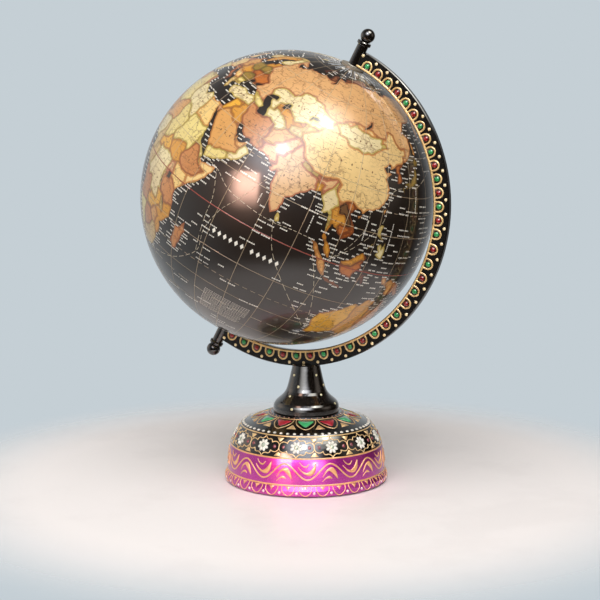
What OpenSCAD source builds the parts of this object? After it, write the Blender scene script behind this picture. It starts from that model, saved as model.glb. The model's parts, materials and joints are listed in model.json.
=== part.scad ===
// Desktop globe on a lacquered stand.
// The globe turns on a tilted through rod that a C-shaped arm carries on a turned stem and a domed base.
// Frame: origin at the centre of the base's underside, +Z up, the arm in the XZ plane and bulging to +X.

/* [Globe] */
// Diameter over the printed map
globe_d = 203.2; // [190:0.1:215]
// Wall of the moulded half shells
shell_wall = 1.8; // [1.2:0.1:3]
// Thickness of the printed paper gores
paper_t = 0.3; // [0.1:0.05:0.5]
// Glue line between the paper and the shell
glue_gap = 0.1; // [0.05:0.05:0.2]
// Gap between the paper's edge and a bush's flange
paper_gap = 0.2; // [0.1:0.05:0.5]
// Height of the ring that joins the half shells inside
ring_h = 14; // [8:1:24]
// Thickness of the joining ring
ring_t = 1.5; // [1:0.1:3]
// Lean of the globe's axis from upright, in degrees
tilt = 28.4; // [22:0.1:32]

/* [Axle] */
// Diameter of the through rod
axle_d = 4; // [3:0.1:5]
// Radial clearance where the globe's bushes run on the rod
run_clearance = 0.05; // [0.02:0.01:0.09]
// End play between each bush and its washer
end_play = 0.15; // [0.1:0.05:0.3]
// Outer diameter of a bush's barrel
bush_d = 9; // [7:0.1:11]
// Length of a bush's barrel inside the shell
bush_len = 8; // [5:0.5:14]
// Diameter of a bush's outside flange
flange_d = 16.4; // [13:0.1:20]
// Height of the flange's face above the shell
flange_h = 1.4; // [0.8:0.1:1.5]
// Thickness of the thrust washers
washer_t = 0.5; // [0.3:0.05:0.8]
// Outer diameter of the sleeves at the arm's ends
sleeve_d = 7.6; // [6.5:0.1:9]
// Length of a sleeve below its rim
sleeve_len = 14.4; // [12:0.1:18]
// Diameter of a sleeve's rim
rim_d = 9.7; // [9.2:0.1:12]
// Height of a sleeve's rim
rim_h = 2.8; // [1.5:0.1:4]
// Diameter of the ball nuts
ball_d = 9.7; // [8.5:0.1:12]
// Thread engagement in a ball nut
ball_grip = 5.5; // [4:0.1:6]
// Depth of a ball nut's bore past the rod's end
bore_relief = 0.5; // [0.3:0.1:1]
// Width of the flat round a ball nut's bore
nut_flat = 0.3; // [0.2:0.1:0.6]
// Chamfer on the sleeve's rim
rim_chamfer = 0.5; // [0.2:0.1:0.8]

/* [Arm] */
// Gap between the globe and the arm at the poles
arm_gap = 1.7; // [1.5:0.1:4]
// Offset of the arm's centre from the globe's axis, square to it
arm_offset = 4.9; // [3:0.1:7]
// Radial width of the arm
arm_w = 11.3; // [9:0.1:14]
// Thickness of the arm
arm_t = 4.4; // [3.5:0.1:6]
// Bevel along the arm's edges
arm_bevel = 0.5; // [0.2:0.1:0.8]
// How far the globe's centre sits back from the stem
globe_back = 14.3; // [8:0.1:18]
// Diameter of the lug under the arm
lug_d = 10; // [8.5:0.1:12]
// Length of the lug inside the stem
lug_len = 13; // [9:0.5:16]

/* [Stem] */
// Height of the stem
stem_h = 33.4; // [28:0.2:45]
// Diameter of the stem's top
stem_top_d = 19.2; // [17:0.1:22]
// Diameter of the stem's waist, where its bell ends
stem_waist_d = 26.8; // [24:0.1:31]
// Height of the waist above the stem's foot
stem_waist_h = 17; // [14:0.2:20]
// Diameter of the stem's foot
stem_foot_d = 46; // [40:0.2:47]
// Height of the foot's upright rim
stem_rim_h = 3.2; // [2:0.1:5]
// Fullness of the bell between the rim and the waist
bell_fullness = 0.55; // [0.45:0.01:0.65]
// Depth of the slot that seats the arm in the stem's top
slot_depth = 1.5; // [0.8:0.1:2.5]
// Clearance round the arm and its lug in the stem
seat_clearance = 0.05; // [0.02:0.01:0.1]
// Space under the end of the lug
lug_relief = 0.5; // [0.3:0.1:1]
// How far the bell swells past the waist before it turns up into the neck
bell_swell = 2.4; // [1.5:0.1:3]
// How far the neck draws in just above the waist
neck_draw = 1.5; // [0.5:0.1:2]
// Run of the neck over which it draws in
neck_run = 5; // [3:0.5:7]
// How much wider the neck is where its upper flare begins
neck_flare = 1.7; // [0.8:0.1:2.5]
// Height of the neck's upper flare
flare_h = 8; // [5:0.5:10]
// Chamfers on the stem's foot and top
stem_chamfer = 0.7; // [0.3:0.1:1]

/* [Base] */
// Height of the base at its crown
base_h = 48; // [42:0.5:56]
// Diameter of the flat crown under the stem
crown_d = 49; // [48:0.5:54]
// Diameter of the shoulder where the crown's cone ends
shoulder_d = 90; // [84:0.5:98]
// Height of the shoulder
shoulder_h = 40.4; // [36:0.2:41.5]
// Diameter of the dome's wall above the foot
wall_d = 110.4; // [106:0.2:118]
// Diameter of the flared foot
foot_d = 113.6; // [112:0.2:122]
// Height of the foot
foot_h = 7.6; // [5:0.2:10]
// How fast the wall turns in towards the shoulder
wall_curve = 2.65; // [2:0.05:3.5]
// Wall of the cast base
base_wall = 2.6; // [2:0.1:4]
// Width of the foot's inner ring that takes the screws
foot_ring_w = 9; // [8:0.5:14]
// Width of the ledge under that ring that the closing plate seats on
plate_ledge = 6.5; // [5:0.1:6.5]
// Drop of the foot's top edge from the wall to the foot's face
foot_fall = 2; // [1:0.1:3]
// Chamfer round the foot's lower edge
foot_chamfer = 1; // [0.5:0.1:1.5]
// Height of the base's edge above the table
edge_lift = 0.6; // [0.3:0.1:1]
// Thickness of the felt pad
felt_t = 1.5; // [1.2:0.1:3]
// Thickness of the closing plate
plate_t = 3; // [2.5:0.5:5]
// Radial gap round the closing plate
plate_gap = 0.2; // [0.1:0.05:0.4]
// How far the felt stays in from the plate's edge
felt_inset = 0.5; // [0.2:0.1:2]

/* [Fasteners] */
// Thread diameter of the tie bolt
bolt_d = 5; // [4:0.5:6]
// Width of the bolt's head across its flats
bolt_af = 8; // [7:0.5:10]
// Height of the bolt's head
bolt_head_h = 3.5; // [2.5:0.1:5]
// Depth of the bolt's thread in the lug
bolt_grip = 9; // [6:0.5:11]
// Diameter of the flat washer under the crown
bolt_washer_d = 20; // [15:0.5:26]
// Thickness of the flat washer
bolt_washer_t = 1.5; // [1:0.1:2.5]
// Thickness of the spring washer
spring_washer_t = 1.2; // [0.8:0.1:1.6]
// Clearance between a thread and its tapped hole
thread_clearance = 0.02; // [0.01:0.01:0.05]
// Clearance of the bolt in plain holes
hole_clearance = 0.25; // [0.15:0.05:0.4]
// Number of screws in the closing plate
screw_count = 4; // [3:1:6]
// Thread diameter of the plate screws
screw_d = 3; // [2.5:0.1:3.5]
// Diameter of the countersunk screw heads
screw_head_d = 5.6; // [5:0.1:6.5]
// Length of the plate screws
screw_len = 7; // [6:0.5:8]
// Depth of the screw ring past the screws' tips
screw_relief = 1.5; // [1.2:0.1:2.5]
// Radial width of the spring washer
spring_washer_w = 1.8; // [1.2:0.1:2.2]
// Width of the spring washer's split
spring_split = 0.8; // [0.5:0.1:1.2]

/* [Hidden] */

cut = 1; // how far cutting shapes run past what they cut

// Globe
globe_r = globe_d / 2;
shell_r = globe_r - paper_t - glue_gap;
shell_in_r = shell_r - shell_wall;
flange_top = shell_r + flange_h;
bore_r = axle_d / 2 + run_clearance;

// Axle stack, measured from the globe's centre along its axis
washer_z = flange_top + end_play;
sleeve_z = washer_z + washer_t;
rim_z = sleeve_z + sleeve_len;
ball_seat_z = rim_z + rim_h;
ball_flat_r = axle_d / 2 + nut_flat;
ball_z = ball_seat_z + sqrt(pow(ball_d / 2, 2) - pow(ball_flat_r, 2));
rod_end_z = ball_seat_z + ball_grip;

// Arm circle and the globe's place over the stem
arm_in_r = globe_r + arm_gap;
arm_out_r = arm_in_r + arm_w;
arm_reach = acos(-arm_offset / (arm_in_r + arm_w / 2)); // half of the arm's sweep
seat_z = base_h + stem_h - slot_depth;
arm_x = -globe_back + arm_offset * cos(tilt);
arm_z = seat_z + sqrt(pow(arm_out_r, 2) - pow(arm_x, 2));
globe_pos = [-globe_back, 0, arm_z + arm_offset * sin(tilt)];

// Lug and tie bolt
lug_top = seat_z + slot_depth / 2;
lug_z = seat_z - lug_len;
crown_in_z = base_h - base_wall;
bolt_top = lug_z + bolt_grip;
washer_top = crown_in_z;
spring_top = washer_top - bolt_washer_t;
head_top = spring_top - spring_washer_t;

// Closing plate and its screws
ring_in_r = min(wall_d, foot_d) / 2 - foot_ring_w; // the ring lies inside both the wall and the foot
plate_r = ring_in_r + plate_ledge;
plate_top = felt_t + plate_t;
screw_pcr = (ring_in_r + plate_r) / 2;
ring_top = plate_top + screw_len - plate_t + screw_relief;

$fn = 96;

// Points of a cubic curve through p[0] and p[3] with handles p[1] and p[2]
function bezier(p, steps) = [
    for (i = [0 : steps])
        let (t = i / steps, s = 1 - t)
            s * s * s * p[0] + 3 * s * s * t * p[1] + 3 * s * t * t * p[2] + t * t * t * p[3]
];

// Radius of the dome's wall at a height between the foot and the shoulder
function wall_r(z) =
    wall_d / 2 - (wall_d - shoulder_d) / 2 * pow((z - foot_h) / (shoulder_h - foot_h), wall_curve);

// Places children in the globe's frame: origin at its centre, +Z along its axis
module on_axis() {
    translate(globe_pos) rotate([0, tilt, 0]) children();
}

// A round tube standing on z
module tube(outer_d, inner_d, z, h) {
    translate([0, 0, z]) difference() {
        cylinder(d = outer_d, h = h);
        translate([0, 0, -cut]) cylinder(d = inner_d, h = h + 2 * cut);
    }
}

// ---- Stand ----

// Cross-section of the arm, radius along X
module arm_section() {
    b = arm_bevel;
    h = arm_t / 2;
    polygon([
        [arm_in_r, -h + b], [arm_in_r + b, -h], [arm_out_r - b, -h], [arm_out_r, -h + b],
        [arm_out_r, h - b], [arm_out_r - b, h], [arm_in_r + b, h], [arm_in_r, h - b]
    ]);
}

module meridian_arm() {
    color([0.05, 0.05, 0.05]) difference() {
        union() {
            on_axis() translate([arm_offset, 0, 0]) rotate([90, 0, 0])
                rotate([0, 0, -arm_reach]) rotate_extrude(angle = 2 * arm_reach, $fn = 180) arm_section();
            translate([0, 0, lug_z]) cylinder(d = lug_d, h = lug_top - lug_z);
        }
        on_axis() translate([0, 0, -rim_z]) cylinder(d = sleeve_d, h = 2 * rim_z);
        translate([0, 0, lug_z - cut])
            cylinder(r = bolt_d / 2 + thread_clearance, h = bolt_grip + bore_relief + cut);
    }
}

// Sleeve with a turned rim, along +Z of the globe's frame
module pole_sleeve() {
    r = rim_d / 2;
    difference() {
        union() {
            translate([0, 0, sleeve_z]) cylinder(d = sleeve_d, h = sleeve_len);
            translate([0, 0, rim_z]) rotate_extrude()
                polygon([
                    [0, 0], [sleeve_d / 2, 0], [r, rim_h * 0.3], [r, rim_h - rim_chamfer],
                    [r - rim_chamfer, rim_h], [0, rim_h]
                ]);
        }
        translate([0, 0, sleeve_z - cut]) cylinder(r = bore_r, h = sleeve_len + rim_h + 2 * cut);
    }
}

module upper_sleeve() {
    color([0.04, 0.04, 0.04]) on_axis() pole_sleeve();
}

module lower_sleeve() {
    color([0.04, 0.04, 0.04]) on_axis() mirror([0, 0, 1]) pole_sleeve();
}

module axle_rod() {
    color("silver") on_axis() translate([0, 0, -rod_end_z]) cylinder(d = axle_d, h = 2 * rod_end_z);
}

// Ball nut with a flat seat and a blind threaded bore
module ball_nut() {
    difference() {
        translate([0, 0, ball_z]) sphere(d = ball_d);
        translate([0, 0, ball_seat_z - ball_d]) cylinder(d = ball_d, h = ball_d);
        translate([0, 0, ball_seat_z - cut])
            cylinder(r = axle_d / 2 + thread_clearance, h = ball_grip + bore_relief + cut);
    }
}

module upper_ball_nut() {
    color([0.05, 0.05, 0.05]) on_axis() ball_nut();
}

module lower_ball_nut() {
    color([0.05, 0.05, 0.05]) on_axis() mirror([0, 0, 1]) ball_nut();
}

module upper_washer() {
    color("gainsboro") on_axis() tube(sleeve_d, 2 * bore_r, washer_z, washer_t);
}

module lower_washer() {
    color("gainsboro") on_axis() mirror([0, 0, 1]) tube(sleeve_d, 2 * bore_r, washer_z, washer_t);
}

// Turned stem: an upright rim, a bell and a tapered neck
module stem() {
    top_r = stem_top_d / 2;
    waist = [stem_waist_d / 2, stem_waist_h];
    foot_r = stem_foot_d / 2;
    bell_h = stem_waist_h * bell_fullness;
    bell = bezier([[foot_r, stem_rim_h], [foot_r, bell_h], [waist.x + bell_swell, bell_h], waist], 10);
    neck = bezier([
        waist, [waist.x - neck_draw, waist.y + neck_run], [top_r + neck_flare, stem_h - flare_h],
        [top_r, stem_h - stem_chamfer]
    ], 6);
    color([0.03, 0.03, 0.03]) difference() {
        translate([0, 0, base_h]) rotate_extrude()
            polygon(concat(
                [[0, 0], [foot_r - stem_chamfer, 0], [foot_r, stem_chamfer]], bell, neck,
                [[top_r - stem_chamfer, stem_h], [0, stem_h]]
            ));
        translate([0, 0, base_h - cut]) cylinder(r = bolt_d / 2 + hole_clearance, h = stem_h + 2 * cut);
        translate([0, 0, lug_z - lug_relief]) cylinder(d = lug_d + 2 * seat_clearance, h = stem_h);
        translate([arm_x, arm_t / 2 + seat_clearance, arm_z]) rotate([90, 0, 0])
            cylinder(r = arm_out_r, h = arm_t + 2 * seat_clearance, $fn = 180);
    }
}

// Cast base: crown, cone, shoulder, curved wall and flared foot, with a screw ring inside the foot
module base_dome() {
    steps = 12;
    outer_wall = [
        for (i = [steps : -1 : 0]) let (z = foot_h + (shoulder_h - foot_h) * i / steps) [wall_r(z), z]
    ];
    inner_top = shoulder_h - base_wall;
    inner_wall = [
        for (i = [0 : steps])
            let (z = ring_top + (inner_top - ring_top) * i / steps) [wall_r(z) - base_wall, z]
    ];
    color([0.55, 0.12, 0.42]) difference() {
        rotate_extrude() polygon(concat(
            [[0, base_h], [crown_d / 2, base_h]],
            outer_wall,
            [
                [foot_d / 2 - foot_chamfer / 2, foot_h - foot_fall],
                [foot_d / 2, foot_h - foot_fall - foot_chamfer],
                [foot_d / 2, edge_lift + foot_chamfer], [foot_d / 2 - foot_chamfer, edge_lift],
                [plate_r + plate_gap, edge_lift],
                [plate_r + plate_gap, plate_top], [ring_in_r, plate_top], [ring_in_r, ring_top]
            ],
            inner_wall,
            [[crown_d / 2, crown_in_z], [0, crown_in_z]]
        ));
        translate([0, 0, crown_in_z - cut])
            cylinder(r = bolt_d / 2 + hole_clearance, h = base_wall + 2 * cut);
        at_screws() translate([0, 0, plate_top - cut])
            cylinder(
                r = screw_d / 2 + thread_clearance, h = screw_len - plate_t + bore_relief + cut, $fn = 32
            );
    }
}

// Hex-headed bolt that pulls the arm, the stem and the base together
module tie_bolt() {
    color("silver") union() {
        translate([0, 0, head_top - bolt_head_h])
            cylinder(d = bolt_af / cos(30), h = bolt_head_h, $fn = 6);
        translate([0, 0, head_top]) cylinder(d = bolt_d, h = bolt_top - head_top);
    }
}

// Split spring washer
module spring_washer() {
    inner = bolt_d + 2 * hole_clearance;
    color("silver") difference() {
        tube(inner + 2 * spring_washer_w, inner, head_top, spring_washer_t);
        translate([inner / 2 - cut, -spring_split / 2, head_top - cut])
            cube([spring_washer_w + 2 * cut, spring_split, spring_washer_t + 2 * cut]);
    }
}

module bolt_washer() {
    color("silver") tube(bolt_washer_d, bolt_d + 2 * hole_clearance, spring_top, bolt_washer_t);
}

// Repeats children at each screw of the closing plate
module at_screws() {
    for (i = [0 : screw_count - 1])
        rotate([0, 0, 45 + 360 / screw_count * i]) translate([screw_pcr, 0, 0]) children();
}

// Countersunk screw, head down on the plate's underside
module plate_screw(grow = 0) {
    head_r = screw_head_d / 2 + grow;
    thread_r = screw_d / 2 + grow;
    translate([0, 0, felt_t]) {
        cylinder(r1 = head_r, r2 = thread_r, h = head_r - thread_r, $fn = 32);
        cylinder(r = thread_r, h = screw_len, $fn = 32);
    }
}

module bottom_plate() {
    color("dimgray") difference() {
        translate([0, 0, felt_t]) cylinder(r = plate_r, h = plate_t);
        at_screws() plate_screw(grow = thread_clearance);
    }
}

module plate_screws() {
    color("silver") at_screws() plate_screw();
}

module felt_pad() {
    color("black") cylinder(r = plate_r - felt_inset, h = felt_t);
}

// ---- Globe ----

// Half of a hollow sphere above z = 0, open at the pole
module half_sphere(outer_r, inner_r, hole_r) {
    difference() {
        sphere(r = outer_r);
        sphere(r = inner_r);
        translate([0, 0, -outer_r - cut]) cylinder(r = outer_r + cut, h = outer_r + cut);
        cylinder(r = hole_r, h = outer_r + cut);
    }
}

module half_shell() {
    half_sphere(shell_r, shell_in_r, bush_d / 2 + thread_clearance);
}

module half_map() {
    half_sphere(globe_r, shell_r + glue_gap, flange_d / 2 + paper_gap);
}

// Flanged bush, its flange dished to sit on the shell
module pole_bush() {
    difference() {
        union() {
            translate([0, 0, shell_in_r - bush_len]) cylinder(d = bush_d, h = bush_len + shell_wall);
            difference() {
                translate([0, 0, shell_in_r]) cylinder(d = flange_d, h = flange_top - shell_in_r);
                sphere(r = shell_r);
            }
        }
        translate([0, 0, shell_in_r - bush_len - cut])
            cylinder(r = bore_r, h = flange_top - shell_in_r + bush_len + 2 * cut);
    }
}

module north_shell() {
    color("tan") on_axis() half_shell();
}

module south_shell() {
    color("tan") on_axis() mirror([0, 0, 1]) half_shell();
}

// Ring glued inside both shells at the equator
module joining_ring() {
    color("tan") on_axis() intersection() {
        difference() {
            sphere(r = shell_in_r - glue_gap);
            sphere(r = shell_in_r - glue_gap - ring_t);
        }
        translate([0, 0, -ring_h / 2]) cylinder(r = shell_r, h = ring_h);
    }
}

module north_bush() {
    color([0.62, 0.6, 0.55]) on_axis() pole_bush();
}

module south_bush() {
    color([0.62, 0.6, 0.55]) on_axis() mirror([0, 0, 1]) pole_bush();
}

module map_north() {
    color([0.35, 0.25, 0.15]) on_axis() half_map();
}

module map_south() {
    color([0.2, 0.15, 0.12]) on_axis() mirror([0, 0, 1]) half_map();
}

meridian_arm();
upper_sleeve();
lower_sleeve();
axle_rod();
upper_ball_nut();
lower_ball_nut();
upper_washer();
lower_washer();
stem();
base_dome();
tie_bolt();
spring_washer();
bolt_washer();
bottom_plate();
plate_screws();
felt_pad();
north_shell();
south_shell();
joining_ring();
north_bush();
south_bush();
map_north();
map_south();
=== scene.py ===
import json
import math

import bmesh
import bpy
import numpy as np
from mathutils import Matrix, Vector, kdtree
from mathutils.geometry import delaunay_2d_cdt


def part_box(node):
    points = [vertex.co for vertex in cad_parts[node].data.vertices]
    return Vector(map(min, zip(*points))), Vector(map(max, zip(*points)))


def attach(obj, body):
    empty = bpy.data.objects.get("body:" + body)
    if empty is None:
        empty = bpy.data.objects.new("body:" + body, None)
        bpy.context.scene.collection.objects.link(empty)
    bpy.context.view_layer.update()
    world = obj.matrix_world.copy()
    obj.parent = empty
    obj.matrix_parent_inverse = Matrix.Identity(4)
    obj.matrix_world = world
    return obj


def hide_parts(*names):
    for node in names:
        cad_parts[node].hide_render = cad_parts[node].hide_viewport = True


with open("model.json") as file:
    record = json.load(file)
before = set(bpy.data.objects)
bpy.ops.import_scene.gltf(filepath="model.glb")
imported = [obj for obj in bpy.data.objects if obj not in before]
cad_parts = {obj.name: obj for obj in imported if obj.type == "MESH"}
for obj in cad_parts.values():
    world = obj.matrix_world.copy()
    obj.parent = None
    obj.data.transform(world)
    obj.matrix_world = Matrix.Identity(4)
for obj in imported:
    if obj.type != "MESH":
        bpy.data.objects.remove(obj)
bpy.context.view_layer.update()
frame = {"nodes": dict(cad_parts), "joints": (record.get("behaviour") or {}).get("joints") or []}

bl_info = {
    "name": "Desktop globe on a lacquered stand",
    "version": (1, 0, 0),
    "blender": (4, 5, 0),
    "location": "3D View > Sidebar > Desk globe",
    "description": "Printed map, painted ornament and finishes for a desktop globe on its stand",
    "category": "Object",
}

# ---------------------------------------------------------------- sizes that follow the solids
MM = 0.001
SPIN_JOINT = next(row for row in frame["joints"] if row["name"] == "globe_spin")
GLOBE_AXIS = Vector(SPIN_JOINT["axis"]).normalized()
MAP_LOW, MAP_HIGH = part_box("map_north")
MAP_OUTER = (MAP_HIGH.y - MAP_LOW.y) / 2
GLOBE_CENTRE = Vector(SPIN_JOINT["pos_m"])
GLOBE_TURN = Matrix((
    (GLOBE_AXIS.z, 0.0, GLOBE_AXIS.x),
    (0.0, 1.0, 0.0),
    (-GLOBE_AXIS.x, 0.0, GLOBE_AXIS.z),
)).to_4x4()
GLOBE_PLACE = Matrix.Translation(GLOBE_CENTRE) @ GLOBE_TURN


def paint(code):
    """A colour written as six hex digits, as Blender's linear colour."""
    parts = [int(code[i:i + 2], 16) / 255 for i in (0, 2, 4)]
    return tuple(c / 12.92 if c <= 0.04045 else ((c + 0.055) / 1.055) ** 2.4 for c in parts) + (1.0,)


def colour_of(label, code, note):
    """A colour setting with its default."""
    return bpy.props.FloatVectorProperty(
        name=label, description=note, subtype="COLOR", size=4, min=0.0, max=1.0, default=paint(code)
    )


def length_of(label, value, note):
    """A length setting in metres."""
    return bpy.props.FloatProperty(
        name=label, description=note, unit="LENGTH", subtype="DISTANCE", precision=5, min=0.0, default=value
    )


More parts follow.
